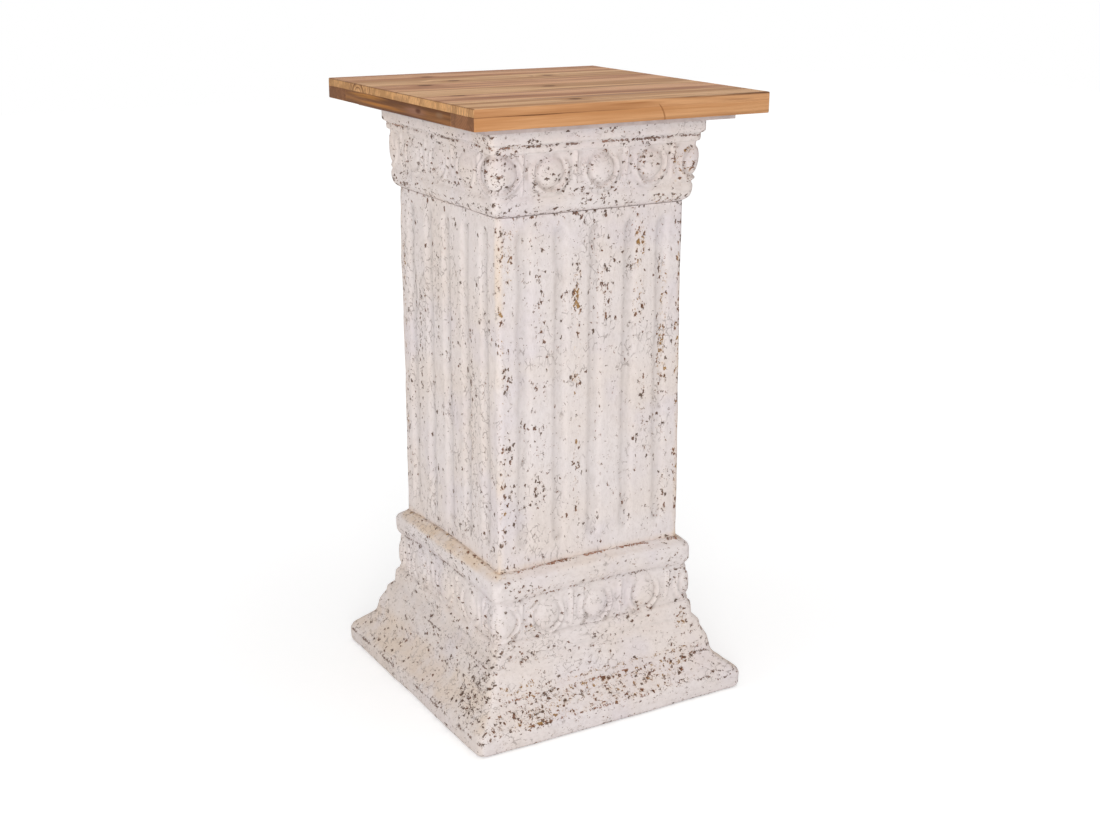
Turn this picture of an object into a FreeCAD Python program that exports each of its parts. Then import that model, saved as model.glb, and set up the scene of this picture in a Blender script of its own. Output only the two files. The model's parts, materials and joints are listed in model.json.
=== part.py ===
import FreeCAD, Part
import math
import os
from collections import namedtuple

# Square column pedestal, in millimetres. +Z is up, the origin is at the bottom centre,
# and the front faces -Y. Three hollow castings stand in one another and carry a plank top.

# ---- the wooden top ----
OVERALL_HEIGHT = 690.0
TOP_WIDTH = 350.0
PLANK_COUNT = 6
PLANK_THICKNESS = 8.5
STRIP_WIDTH = 48.0
STRIP_THICKNESS = 13.5
BATTEN_WIDTH = 60.0
BATTEN_OFFSET = 62.0
BOARD_WIDTH = 300.0
BOARD_THICKNESS = 7.0
EASED_EDGE = 1.0
EASED_CORNER = 2.0
SEAM_GROOVE = 0.5

# ---- the castings: a half width is from the axis to a face ----
PLINTH_HALF = 172.0
LEDGE_HALF = 127.5
SHAFT_HALF = 116.0
ABACUS_HALF = 130.0
BASE_HEIGHT = 182.0
SHAFT_HEIGHT = 390.0
WALL = 15.0
RIM_WALL = 19.5
BASE_CORNER = 9.0
SHAFT_CORNER = 6.0
CAPITAL_CORNER = 8.0
CORNER_FLATS = 4
ARC_FLATS = 3
JOINT_LAP = 0.5

FLUTES_PER_FACE = 5
FLUTE_PITCH = 43.0
FLUTE_WIDTH = 18.0
FLUTE_DEPTH = 3.2
FLUTE_TAPER = 10.0
FLUTE_BOTTOM_GAP = 24.0
FLUTE_TOP_GAP = 14.0

SPIGOT_HEIGHT = 15.0
SPIGOT_WALL = 12.0
ADHESIVE_GAP = 1.0

BLOCK_WIDTH = 40.0
BLOCK_HEIGHT = 44.0
SCREW_RADIUS = 2.0
SCREW_HEAD_RADIUS = 4.0
SCREW_HEAD_HEIGHT = 2.2
SCREW_TIP = 4.0
SCREW_SIDES = 6
SCREW_LENGTH = 35.0
SCREW_OFFSET = 80.0

# ---- levels and widths that follow from them ----
CAPITAL_BOTTOM = BASE_HEIGHT + SHAFT_HEIGHT
PLANK_BOTTOM = OVERALL_HEIGHT - PLANK_THICKNESS
STRIP_BOTTOM = PLANK_BOTTOM - STRIP_THICKNESS
CAPITAL_TOP = STRIP_BOTTOM - BOARD_THICKNESS
RIM_HALF = PLINTH_HALF - RIM_WALL
HOLLOW_HALF = SHAFT_HALF - WALL
SPIGOT_HALF = HOLLOW_HALF - ADHESIVE_GAP
BORE_HALF = SPIGOT_HALF - SPIGOT_WALL
PLANK_WIDTH = TOP_WIDTH / PLANK_COUNT

# ---- egg-and-dart bands: each runs up to the foot of a fillet ----
EGG_WIDTH = 29.0
RIM_GAP = 3.0
RIM_WIDTH = 3.5
RIM_INSET = 0.5
RIM_CHORDS = 8
DART_WIDTH = 8.0
DART_INSET = 4.0
EMBED = 6.0
DART_ROOT = 1.0
EGG_PLACES = (-2, -1, 0, 1, 2)
DART_PLACES = (-1.5, -0.5, 0.5, 1.5)

Band = namedtuple("Band", "bottom top half pitch egg_rise rim_rise")
BASE_BAND = Band(104.0, 147.0, 126.0, 64.0, 2.4, 1.8)
CAPITAL_BAND = Band(CAPITAL_BOTTOM + 21.0, CAPITAL_BOTTOM + 64.0, 122.5, 61.0, 3.0, 2.5)

# ---- mouldings from the bottom up, as (sag, half width, level) ----
# Sag 0 runs straight, a positive sag swells out, a negative one is hollow, and a step at the
# same level is a flat shelf.
BASE_MOULDING = (
    (0, PLINTH_HALF, 0.0),
    (0, PLINTH_HALF, 19.0),
    (0, 168.5, 24.0),
    (0, 151.5, 41.0),
    (0, 149.5, 46.0),
    (-1.2, 138.5, 75.0),
    (0, 137.0, 77.5),
    (-1.4, 130.5, 92.0),
    (0, 129.5, BASE_BAND.bottom),
    (0, BASE_BAND.half, BASE_BAND.bottom),
    (0, BASE_BAND.half, BASE_BAND.top),
    (0, BASE_BAND.half - 2.0, BASE_BAND.top),
    (0, BASE_BAND.half - 2.0, BASE_BAND.top + 2.5),
    (0, LEDGE_HALF, BASE_BAND.top + 8.0),
    (0, LEDGE_HALF, BASE_HEIGHT - 12.0),
    (0, LEDGE_HALF - 2.0, BASE_HEIGHT - 8.5),
    (-0.8, SHAFT_HALF + JOINT_LAP, BASE_HEIGHT),
)
BASE_HOLLOW = (
    (0, RIM_HALF, 0.0),
    (0, RIM_HALF, 18.0),
    (0, 128.0, 44.0),
    (0, 107.0, 96.0),
    (0, HOLLOW_HALF, 150.0),
    (0, BORE_HALF, BASE_HEIGHT - WALL),
)
CAPITAL_MOULDING = (
    (0, SHAFT_HALF + JOINT_LAP, CAPITAL_BOTTOM),
    (1.0, 121.5, CAPITAL_BOTTOM + 7.0),
    (0.4, 121.5, CAPITAL_BOTTOM + 17.0),
    (0, 120.0, CAPITAL_BAND.bottom),
    (0, CAPITAL_BAND.half, CAPITAL_BAND.bottom),
    (0, CAPITAL_BAND.half, CAPITAL_BAND.top),
    (0, CAPITAL_BAND.half + 3.0, CAPITAL_BAND.top),
    (0, CAPITAL_BAND.half + 3.0, CAPITAL_TOP - 18.0),
    (0, CAPITAL_BAND.half + 1.5, CAPITAL_TOP - 18.0),
    (0, CAPITAL_BAND.half + 1.5, CAPITAL_TOP - 16.0),
    (0, ABACUS_HALF - 1.5, CAPITAL_TOP - 16.0),
    (0, ABACUS_HALF, CAPITAL_TOP - 13.0),
    (0, ABACUS_HALF, CAPITAL_TOP - 1.5),
    (0, ABACUS_HALF - 1.0, CAPITAL_TOP),
)

QUARTER_TURNS = (0, 90, 180, 270)
Z_AXIS = FreeCAD.Vector(0, 0, 1)
ORIGIN = FreeCAD.Vector(0, 0, 0)
NEAR = 0.01


def box(low, high):
    """Box between two opposite corners."""
    size = [high[i] - low[i] for i in range(3)]
    return Part.makeBox(size[0], size[1], size[2], FreeCAD.Vector(*low))


def centred_box(half, bottom, top):
    """Square box about the Z axis."""
    return box((-half, -half, bottom), (half, half, top))


def moved(shape, x, y, z):
    """Copy of a shape moved by the given distances."""
    copy = shape.copy()
    copy.translate(FreeCAD.Vector(x, y, z))
    return copy


def turned(shape, degrees):
    """Copy of a shape turned about the Z axis."""
    copy = shape.copy()
    copy.rotate(ORIGIN, Z_AXIS, degrees)
    return copy


def all_round(shape):
    """Four copies of a shape, one for each side of the square."""
    return [turned(shape, turn) for turn in QUARTER_TURNS]


def polygon_face(points):
    """Flat face inside a closed polygon of points."""
    return Part.Face(Part.makePolygon(points + points[:1]))


def sewn_solid(faces):
    """Solid inside a closed set of faces, turned the right way out."""
    shell = Part.makeShell(faces)
    shell.sewShape()
    solid = Part.makeSolid(shell)
    if solid.Volume < 0:
        solid.reverse()
    return solid


def rounded_ring(half, z, radius):
    """Points round a horizontal square, with each corner rounded in a few flats."""
    inner = half - radius
    points = []
    for turn, (side_x, side_y) in enumerate(((1, 1), (-1, 1), (-1, -1), (1, -1))):
        for i in range(CORNER_FLATS + 1):
            angle = math.radians(90 * (turn + i / CORNER_FLATS))
            x = side_x * inner + radius * math.cos(angle)
            y = side_y * inner + radius * math.sin(angle)
            points.append(FreeCAD.Vector(x, y, z))
    return points


def profile_points(moulding):
    """Points of a moulding, as half width and level, with its arcs divided evenly."""
    points = [moulding[0][1:]]
    for sag, half, z in moulding[1:]:
        start_half, start_z = points[-1]
        run = half - start_half
        climb = z - start_z
        chord = math.hypot(run, climb)
        count = ARC_FLATS if sag else 1
        for i in range(1, count + 1):
            share = i / count
            swell = 4.0 * sag * share * (1.0 - share) / chord
            points.append((start_half + run * share + swell * climb, start_z + climb * share - swell * run))
    return points


def moulded_block(moulding, radius):
    """Solid with a moulding run round a square with rounded corners."""
    rings = [rounded_ring(half, z, radius) for half, z in profile_points(moulding)]
    faces = [polygon_face(rings[0]), polygon_face(rings[-1])]
    for lower, upper in zip(rings, rings[1:]):
        for i in range(len(lower)):
            faces.append(polygon_face([lower[i - 1], lower[i], upper[i], upper[i - 1]]))
    return sewn_solid(faces)


def bowed_radius(width, rise):
    """Radius of the round surface that stands a given rise out of a strip of a given width."""
    return (width ** 2 / 4 + rise ** 2) / (2 * rise)


def face_egg(band, centre):
    """Egg that stands out of the plane y = 0 towards -Y, round below and cut square by the fillet."""
    radius = bowed_radius(EGG_WIDTH, band.egg_rise)
    foot = FreeCAD.Vector(0, 0, centre)
    rod = Part.makeCylinder(radius, band.top - centre, foot).fuse(Part.makeSphere(radius, foot))
    rod = moved(rod.removeSplitter(), 0, radius - band.egg_rise, 0)
    return rod.common(box((-EGG_WIDTH, -EMBED, centre - EGG_WIDTH / 2), (EGG_WIDTH, EMBED, band.top)))


def egg_rim(band, centre):
    """U-shaped rim that stands round an egg, open to the fillet above."""
    inner = EGG_WIDTH / 2 + RIM_GAP
    turns = [math.pi * i / RIM_CHORDS for i in range(RIM_CHORDS + 1)]
    outline = []
    for radius, order in ((inner + RIM_WIDTH, turns), (inner, turns[::-1])):
        bend = [FreeCAD.Vector(radius * math.cos(a), EMBED, centre - radius * math.sin(a)) for a in order]
        ends = [FreeCAD.Vector(bend[i].x, EMBED, band.top) for i in (0, -1)]
        outline += [ends[0]] + bend + [ends[1]]
    return polygon_face(outline).extrude(FreeCAD.Vector(0, -EMBED - band.rim_rise, 0))


def dart(band):
    """Dart between two eggs: a ridged blade that runs down to a point."""
    left = FreeCAD.Vector(-DART_WIDTH / 2, 0, band.top)
    right = FreeCAD.Vector(DART_WIDTH / 2, 0, band.top)
    tip = FreeCAD.Vector(0, 0, band.bottom + DART_INSET)
    crest = FreeCAD.Vector(0, -band.rim_rise, band.top)
    corners = ((left, right, tip), (left, right, crest), (left, tip, crest), (right, tip, crest))
    sides = [polygon_face(list(three)) for three in corners]
    return sewn_solid(sides).fuse(sides[0].extrude(FreeCAD.Vector(0, DART_ROOT, 0)))


def ornaments(band, corner_radius):
    """Egg-and-dart for one band: rimmed eggs on each face and round each corner, darts between."""
    centre = band.bottom + RIM_INSET + RIM_WIDTH + RIM_GAP + EGG_WIDTH / 2
    egg = face_egg(band, centre)
    rim = egg_rim(band, centre)
    on_face = []
    for shape, rise in ((egg, band.egg_rise), (rim, band.rim_rise)):
        limit = polygon_face(rounded_ring(band.half + rise, band.bottom, corner_radius))
        limit = limit.extrude(FreeCAD.Vector(0, 0, band.top - band.bottom))
        for place in EGG_PLACES:
            on_face.append(moved(shape, place * band.pitch, -band.half, 0).common(limit))
    for place in DART_PLACES:
        on_face.append(moved(dart(band), place * band.pitch, -band.half, 0))
    return [copy for shape in on_face for copy in all_round(shape)]


def base_casting():
    """Plinth, flared foot, egg-and-dart band, ledge and weathered top, hollow from below."""
    body = moulded_block(BASE_MOULDING, BASE_CORNER)
    hollow = moulded_block(BASE_HOLLOW, BASE_CORNER)
    spigot_top = BASE_HEIGHT + SPIGOT_HEIGHT
    spigot = centred_box(SPIGOT_HALF, BASE_HEIGHT - WALL / 2, spigot_top)
    bore = centred_box(BORE_HALF, BASE_HEIGHT - WALL, spigot_top)
    return body.fuse([spigot] + ornaments(BASE_BAND, BASE_CORNER)).cut([hollow, bore]).removeSplitter()


def flute():
    """Tool for one stopped flute, centred on the plane y = 0: a round rod that tapers at each end."""
    radius = bowed_radius(FLUTE_WIDTH, FLUTE_DEPTH)
    bottom = BASE_HEIGHT + FLUTE_BOTTOM_GAP + FLUTE_TAPER
    top = CAPITAL_BOTTOM - FLUTE_TOP_GAP - FLUTE_TAPER
    ends = []
    for z, direction in ((bottom, -1), (top, 1)):
        place = FreeCAD.Vector(0, 0, z)
        ends.append(Part.makeCone(radius, radius - FLUTE_DEPTH, FLUTE_TAPER, place, Z_AXIS * direction))
    tool = Part.makeCylinder(radius, top - bottom, FreeCAD.Vector(0, 0, bottom)).fuse(ends)
    return moved(tool, 0, FLUTE_DEPTH - radius, 0)


def shaft_casting():
    """Square hollow shaft with a row of stopped flutes on each face."""
    outline = ((0, SHAFT_HALF, BASE_HEIGHT), (0, SHAFT_HALF, CAPITAL_BOTTOM))
    body = moulded_block(outline, SHAFT_CORNER)
    middle = (FLUTES_PER_FACE - 1) / 2
    cuts = [centred_box(HOLLOW_HALF, BASE_HEIGHT, CAPITAL_BOTTOM)]
    for i in range(FLUTES_PER_FACE):
        cuts += all_round(moved(flute(), (i - middle) * FLUTE_PITCH, -SHAFT_HALF, 0))
    return body.cut(cuts)


def capital_casting():
    """Bead, egg-and-dart band, fillet and abacus, with a spigot that stands in the shaft."""
    body = moulded_block(CAPITAL_MOULDING, CAPITAL_CORNER)
    spigot_bottom = CAPITAL_BOTTOM - SPIGOT_HEIGHT
    spigot = centred_box(SPIGOT_HALF, spigot_bottom, CAPITAL_BOTTOM + WALL / 2)
    bore = centred_box(BORE_HALF, spigot_bottom, CAPITAL_BOTTOM + WALL)
    hollow = centred_box(HOLLOW_HALF, CAPITAL_BOTTOM + WALL, CAPITAL_TOP)
    return body.fuse([spigot] + ornaments(CAPITAL_BAND, CAPITAL_CORNER)).cut([bore, hollow]).removeSplitter()


def eased_slab(bottom, top, eased_level):
    """Square slab of the top's size with eased corners and one eased rim."""
    slab = centred_box(TOP_WIDTH / 2, bottom, top)
    uprights = [edge for edge in slab.Edges if edge.BoundBox.ZLength > NEAR]
    slab = slab.makeChamfer(EASED_CORNER, uprights)
    rim = [
        edge for edge in slab.Edges
        if abs(edge.BoundBox.ZMin - eased_level) < NEAR and abs(edge.BoundBox.ZMax - eased_level) < NEAR
    ]
    return slab.makeChamfer(EASED_EDGE, rim)


def seam_groove(y):
    """V-shaped groove along the top where two planks meet."""
    face = polygon_face([
        FreeCAD.Vector(-TOP_WIDTH / 2, y - SEAM_GROOVE, OVERALL_HEIGHT),
        FreeCAD.Vector(-TOP_WIDTH / 2, y + SEAM_GROOVE, OVERALL_HEIGHT),
        FreeCAD.Vector(-TOP_WIDTH / 2, y, OVERALL_HEIGHT - SEAM_GROOVE),
    ])
    return face.extrude(FreeCAD.Vector(TOP_WIDTH, 0, 0))


def board_screw(x, y):
    """Countersunk screw down through the backing board, with its head flush."""
    outline = (
        (SCREW_HEAD_RADIUS, 0),
        (SCREW_RADIUS, SCREW_HEAD_HEIGHT),
        (SCREW_RADIUS, SCREW_LENGTH - SCREW_TIP),
    )
    spokes = [2 * math.pi * i / SCREW_SIDES for i in range(SCREW_SIDES)]
    sections = []
    for radius, depth in outline:
        ring = [FreeCAD.Vector(radius * math.cos(a), radius * math.sin(a), -depth) for a in spokes]
        sections.append(Part.makePolygon(ring + ring[:1]))
    sections.append(Part.Vertex(0, 0, -SCREW_LENGTH))
    return moved(Part.makeLoft(sections, True, True), x, y, STRIP_BOTTOM)


def board_screws():
    """Four screws that hold the backing board to the capital's blocks."""
    return [board_screw(x, y) for x in (-SCREW_OFFSET, SCREW_OFFSET) for y in (-SCREW_OFFSET, SCREW_OFFSET)]


def backing_board(screws):
    """Thin board between the capital and the wooden top, countersunk for its screws."""
    return centred_box(BOARD_WIDTH / 2, CAPITAL_TOP, STRIP_BOTTOM).cut(screws)


def top_planks():
    """Upper layer of the top: boards side by side along X, eased round the outside."""
    slab = eased_slab(PLANK_BOTTOM, OVERALL_HEIGHT, OVERALL_HEIGHT)
    fronts = [PLANK_WIDTH * i - TOP_WIDTH / 2 for i in range(PLANK_COUNT)]
    slab = slab.cut([seam_groove(y) for y in fronts[1:]])
    planks = {}
    for number, front in enumerate(fronts, start=1):
        low = (-TOP_WIDTH, front, PLANK_BOTTOM)
        high = (TOP_WIDTH, front + PLANK_WIDTH, OVERALL_HEIGHT)
        planks["top_plank_%d" % number] = slab.common(box(low, high))
    return planks


def edge_strips():
    """Lower layer of the top: front and rear strips, with the side strips butted between."""
    slab = eased_slab(STRIP_BOTTOM, PLANK_BOTTOM, STRIP_BOTTOM)
    outer = TOP_WIDTH / 2
    inner = outer - STRIP_WIDTH
    bounds = {
        "front_edge_strip": (-outer, -outer, outer, -inner),
        "rear_edge_strip": (-outer, inner, outer, outer),
        "left_edge_strip": (-outer, -inner, -inner, inner),
        "right_edge_strip": (inner, -inner, outer, inner),
    }
    strips = {}
    for name, (x0, y0, x1, y1) in bounds.items():
        strips[name] = slab.common(box((x0, y0, STRIP_BOTTOM), (x1, y1, PLANK_BOTTOM)))
    return strips


def battens():
    """Cross battens inside the edge frame, under the middle planks."""
    reach = TOP_WIDTH / 2 - STRIP_WIDTH
    solids = {}
    for number, x in ((1, -BATTEN_OFFSET), (2, BATTEN_OFFSET)):
        low = (x - BATTEN_WIDTH / 2, -reach, STRIP_BOTTOM)
        high = (x + BATTEN_WIDTH / 2, reach, PLANK_BOTTOM)
        solids["batten_%d" % number] = box(low, high)
    return solids


def capital_blocks(screws):
    """Timber blocks bonded into the capital's corners, level with its top."""
    inner = HOLLOW_HALF - BLOCK_WIDTH
    low = (inner, -HOLLOW_HALF, CAPITAL_TOP - BLOCK_HEIGHT)
    block = box(low, (HOLLOW_HALF, -inner, CAPITAL_TOP))
    blocks = {}
    for number, turn in enumerate(QUARTER_TURNS, start=1):
        blocks["capital_block_%d" % number] = turned(block, turn).cut(screws)
    return blocks


def main():
    """Builds every piece and writes each one to its own file."""
    os.makedirs("parts", exist_ok=True)
    screws = board_screws()
    pieces = {
        "base_casting": base_casting(),
        "shaft_casting": shaft_casting(),
        "capital_casting": capital_casting(),
        "backing_board": backing_board(screws),
        "board_screws": Part.makeCompound(screws),
    }
    pieces.update(top_planks())
    pieces.update(edge_strips())
    pieces.update(battens())
    pieces.update(capital_blocks(screws))
    for name, shape in pieces.items():
        shape.exportStep("parts/%s.step" % name)
        print(name, len(shape.Solids), shape.isValid(), round(shape.Volume))


main()
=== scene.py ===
"""Looks of a square column pedestal: three worn off-white castings under a plank top of fir.

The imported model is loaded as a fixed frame, in metres. The castings are swept again with soft,
hand-worn relief, the top is made of eased boards, and every finish is procedural.
"""

from __future__ import annotations

import json
import logging
import math
from dataclasses import dataclass
from enum import Enum
from typing import Callable, Sequence

import bmesh
import bpy
import numpy as np
from mathutils import Matrix, Vector

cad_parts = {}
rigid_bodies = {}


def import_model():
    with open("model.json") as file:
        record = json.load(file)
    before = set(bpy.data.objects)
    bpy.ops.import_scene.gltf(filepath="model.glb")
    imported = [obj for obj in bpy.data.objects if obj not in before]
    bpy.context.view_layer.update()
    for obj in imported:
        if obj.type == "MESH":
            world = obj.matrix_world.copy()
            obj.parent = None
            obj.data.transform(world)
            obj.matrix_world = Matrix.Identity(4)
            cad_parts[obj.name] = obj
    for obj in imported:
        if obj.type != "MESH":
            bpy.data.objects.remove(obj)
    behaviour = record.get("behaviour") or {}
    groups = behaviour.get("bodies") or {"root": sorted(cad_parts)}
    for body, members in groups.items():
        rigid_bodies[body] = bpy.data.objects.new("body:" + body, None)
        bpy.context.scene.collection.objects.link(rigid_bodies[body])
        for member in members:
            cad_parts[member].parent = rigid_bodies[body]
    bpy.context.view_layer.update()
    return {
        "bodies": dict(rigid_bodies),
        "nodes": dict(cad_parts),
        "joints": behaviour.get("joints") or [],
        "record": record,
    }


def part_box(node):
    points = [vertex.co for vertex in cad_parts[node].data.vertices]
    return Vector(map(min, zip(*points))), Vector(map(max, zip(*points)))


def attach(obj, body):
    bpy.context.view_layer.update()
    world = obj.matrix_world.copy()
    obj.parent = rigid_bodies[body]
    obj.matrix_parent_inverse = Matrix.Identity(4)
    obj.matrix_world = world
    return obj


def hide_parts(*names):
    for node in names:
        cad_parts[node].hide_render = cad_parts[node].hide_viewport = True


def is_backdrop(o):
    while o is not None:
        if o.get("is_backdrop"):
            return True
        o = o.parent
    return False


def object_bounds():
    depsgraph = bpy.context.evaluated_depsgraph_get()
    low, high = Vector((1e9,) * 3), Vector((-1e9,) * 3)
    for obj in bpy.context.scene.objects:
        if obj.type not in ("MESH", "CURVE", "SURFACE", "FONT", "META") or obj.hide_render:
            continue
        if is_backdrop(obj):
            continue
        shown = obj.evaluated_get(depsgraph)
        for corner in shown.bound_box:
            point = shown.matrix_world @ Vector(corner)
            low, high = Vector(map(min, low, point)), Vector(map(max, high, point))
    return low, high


LOG = logging.getLogger("pedestal")
BODY = "root"
# Points nearer than this, in metres, are merged.
SAME_POINT = 1e-6
Colour = tuple[float, float, float]
Point = tuple[float, float, float]
Array = np.ndarray
# Half width and level of a profile's corner, then where given the pitch and the sag on the way to it.
Step = tuple[float, ...]
# Pitches at which a profile is sampled, in metres.
COARSE = 0.0024
FINE = 0.0014


class Side(Enum):
    """The four sides of the column, numbered the way round that its ring runs."""

    FRONT = 0
    RIGHT = 1
    BACK = 2
    LEFT = 3


# ---------------------------------------------------------------- shader trees


def math_operator(operation: str, flipped: bool = False) -> Callable[..., Wire]:
    """Makes an operator that adds one Math node.

    Args:
        operation: The node's operation.
        flipped: Whether the wire itself comes second.

    Returns:
        The operator's method.
    """

    def join(wire: Wire, other: Value = None) -> Wire:
        """Joins the wire and the other value by the node."""
        return wire.tree.math(operation, *((other, wire) if flipped else (wire, other)))

    return join


class Wire:
    """A value in a shader tree. Sums and products of wires are Math nodes."""

    __add__ = math_operator("ADD")
    __sub__ = math_operator("SUBTRACT")
    __rsub__ = math_operator("SUBTRACT", flipped=True)
    __mul__ = math_operator("MULTIPLY")
    __truediv__ = math_operator("DIVIDE")
    __rtruediv__ = math_operator("DIVIDE", flipped=True)
    __abs__ = math_operator("ABSOLUTE")

    def __init__(self, tree: ShaderTree, socket: bpy.types.NodeSocket) -> None:
        """Keeps the tree, and the output socket that gives the value."""
        self.tree = tree
        self.socket = socket

    def ramp(self, low: Value, high: Value, start: Value = 0.0, end: Value = 1.0) -> Wire:
        """Maps the range from low to high onto another, with soft, clamped ends."""
        inputs = dict(enumerate((self, low, high, start, end)))
        return self.tree.add("MapRange", inputs, interpolation_type="SMOOTHSTEP")


Value = Wire | bpy.types.NodeSocket | float | Point | None
Inputs = dict[str | int, Value]


class ShaderTree:
    """Adds nodes to one node tree and joins them."""

    def __init__(self, tree: bpy.types.NodeTree) -> None:
        """Keeps the node tree."""
        self.tree = tree

    def put(self, socket: bpy.types.NodeSocket, value: Value) -> None:
        """Links a socket to a wire or an output, or gives it a plain value."""
        source = getattr(value, "socket", value)
        if isinstance(source, bpy.types.NodeSocket):
            self.tree.links.new(source, socket)
        else:
            wide = socket.type == "RGBA" and len(value) == 3
            socket.default_value = (*value, 1.0) if wide else value

    def node(self, kind: str, inputs: Inputs, **settings: object) -> bpy.types.Node:
        """Adds one node.

        Args:
            kind: The node's type, without its ShaderNode prefix.
            inputs: What goes into some of its inputs, by name or number.
            settings: Properties to set on it.

        Returns:
            The new node.
        """
        made = self.tree.nodes.new("ShaderNode" + kind)
        for name, value in settings.items():
            setattr(made, name, value)
        for key, value in inputs.items():
            if value is not None:
                self.put(made.inputs[key], value)
        return made

    def add(self, kind: str, inputs: Inputs, output: str | int = 0, **settings: object) -> Wire:
        """Adds one node and returns one of its outputs."""
        return Wire(self, self.node(kind, inputs, **settings).outputs[output])

    def math(self, operation: str, a: Value, b: Value = None) -> Wire:
        """Adds a Math node."""
        return self.add("Math", {0: a, 1: b}, operation=operation)

    def vector(self, operation: str, a: Value, b: Value = None, scale: Value = None) -> Wire:
        """Adds a Vector Math node, which gives a number for a LENGTH and else a vector."""
        output = "Value" if operation == "LENGTH" else "Vector"
        return self.add("VectorMath", {0: a, 1: b, "Scale": scale}, output, operation=operation)

    def mix(self, share: Value, a: Value, b: Value, blend: str = "MIX") -> Wire:
        """Mixes two colours."""
        inputs = {"Factor": share, 6: a, 7: b}
        return self.add("Mix", inputs, 2, data_type="RGBA", blend_type=blend, clamp_factor=True)

    def coat(self, colour: Value, *layers: tuple[Value, Value]) -> Wire:
        """Lays colours over a first one, each as thick as its mask."""
        for share, tone in layers:
            colour = self.mix(share, colour, tone)
        return colour

    def noise(self, vector: Value, scale: float, detail: float = 2.0, rough: float = 0.5) -> Wire:
        """Adds a Noise texture and returns its grey value."""
        return self.add("TexNoise", {"Vector": vector, "Scale": scale, "Detail": detail, "Roughness": rough})

    def drift(self, vector: Value, scale: float, detail: float) -> Wire:
        """Returns coloured noise as a vector that runs each way from zero."""
        noise = self.add("TexNoise", {"Vector": vector, "Scale": scale, "Detail": detail}, "Color")
        return self.vector("SUBTRACT", noise, (0.5, 0.5, 0.5))

    def warp(self, vector: Value, scale: float, amount: float, detail: float = 2.0) -> Wire:
        """Bends a vector by coloured noise, by up to an amount in its own units."""
        bend = self.vector("SCALE", self.drift(vector, scale, detail), scale=2.0 * amount)
        return self.vector("ADD", vector, bend)

    def place(self, vector: Value, scale: Point = (1, 1, 1), shift: Point = (0, 0, 0)) -> Wire:
        """Scales and shifts a vector with a Mapping node."""
        return self.add("Mapping", {"Vector": vector, "Location": shift, "Scale": scale})

    def split(self, vector: Value) -> list[Wire]:
        """Returns a vector's three parts."""
        return [Wire(self, part) for part in self.node("SeparateXYZ", {0: vector}).outputs]

    def join(self, x: Value, y: Value, z: Value) -> Wire:
        """Returns a vector made of three parts."""
        return self.add("CombineXYZ", {0: x, 1: y, 2: z})

    def attribute(self, name: str) -> Wire:
        """Returns a value stored on the piece's points."""
        return self.add("Attribute", {}, "Fac", attribute_name=name)

    def here(self) -> Wire:
        """Returns the place on the piece, in metres."""
        return self.add("TexCoord", {}, "Object")

    def looked_at(self) -> Wire:
        """Returns 1 where the camera looks straight, in a gloss or through glass, and 0 for other light."""
        path = self.node("LightPath", {}).outputs
        mirrored = self.math("MAXIMUM", path["Is Glossy Ray"], path["Is Transmission Ray"])
        return self.math("MAXIMUM", path["Is Camera Ray"], mirrored)

    def group(self, made: bpy.types.NodeTree, **values: Value) -> dict[str, Wire]:
        """Places a node group with its inputs' values and returns its outputs by name."""
        outputs = self.node("Group", values, node_tree=made).outputs
        return {socket.name: Wire(self, socket) for socket in outputs}


class GroupTree(ShaderTree):
    """A shader node group of named inputs and outputs."""

    def __init__(self, name: str, vectors: str, numbers: str, results: str) -> None:
        """Makes the group's tree and its sockets, whose names are given with spaces between.

        Args:
            name: The group's name.
            vectors: Its vector inputs.
            numbers: Its number inputs.
            results: Its outputs, all numbers.
        """
        super().__init__(bpy.data.node_groups.new(name, "ShaderNodeTree"))
        kinds = ((vectors, "INPUT", "Vector"), (numbers, "INPUT", "Float"), (results, "OUTPUT", "Float"))
        for labels, direction, kind in kinds:
            for label in labels.split():
                self.tree.interface.new_socket(label, in_out=direction, socket_type="NodeSocket" + kind)
        given = self.tree.nodes.new("NodeGroupInput").outputs
        self.given = [Wire(self, given[label]) for label in f"{vectors} {numbers}".split()]

    def finish(self, **results: Value) -> bpy.types.NodeTree:
        """Joins the named outputs and returns the finished group."""
        ends = self.tree.nodes.new("NodeGroupOutput").inputs
        for name, value in results.items():
            self.put(ends[name], value)
        return self.tree


class MaterialTree(ShaderTree):
    """A new material's tree round its Principled BSDF."""

    def __init__(self, name: str) -> None:
        """Makes the material under a name."""
        self.material = bpy.data.materials.new(name)
        self.material.use_nodes = True
        super().__init__(self.material.node_tree)
        self.shader = self.tree.nodes["Principled BSDF"]

    def dress(self, **inputs: Value) -> None:
        """Links or sets the shader's own inputs, named with underscores for spaces."""
        for name, value in inputs.items():
            self.put(self.shader.inputs[name.replace("_", " ")], value)

    def bump(self, depth: float, height: Wire) -> None:
        """Roughens the surface by a height, whose full value stands for a depth in metres."""
        self.dress(Normal=self.add("Bump", {"Distance": depth, "Strength": 1.0, "Height": height}))


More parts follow.
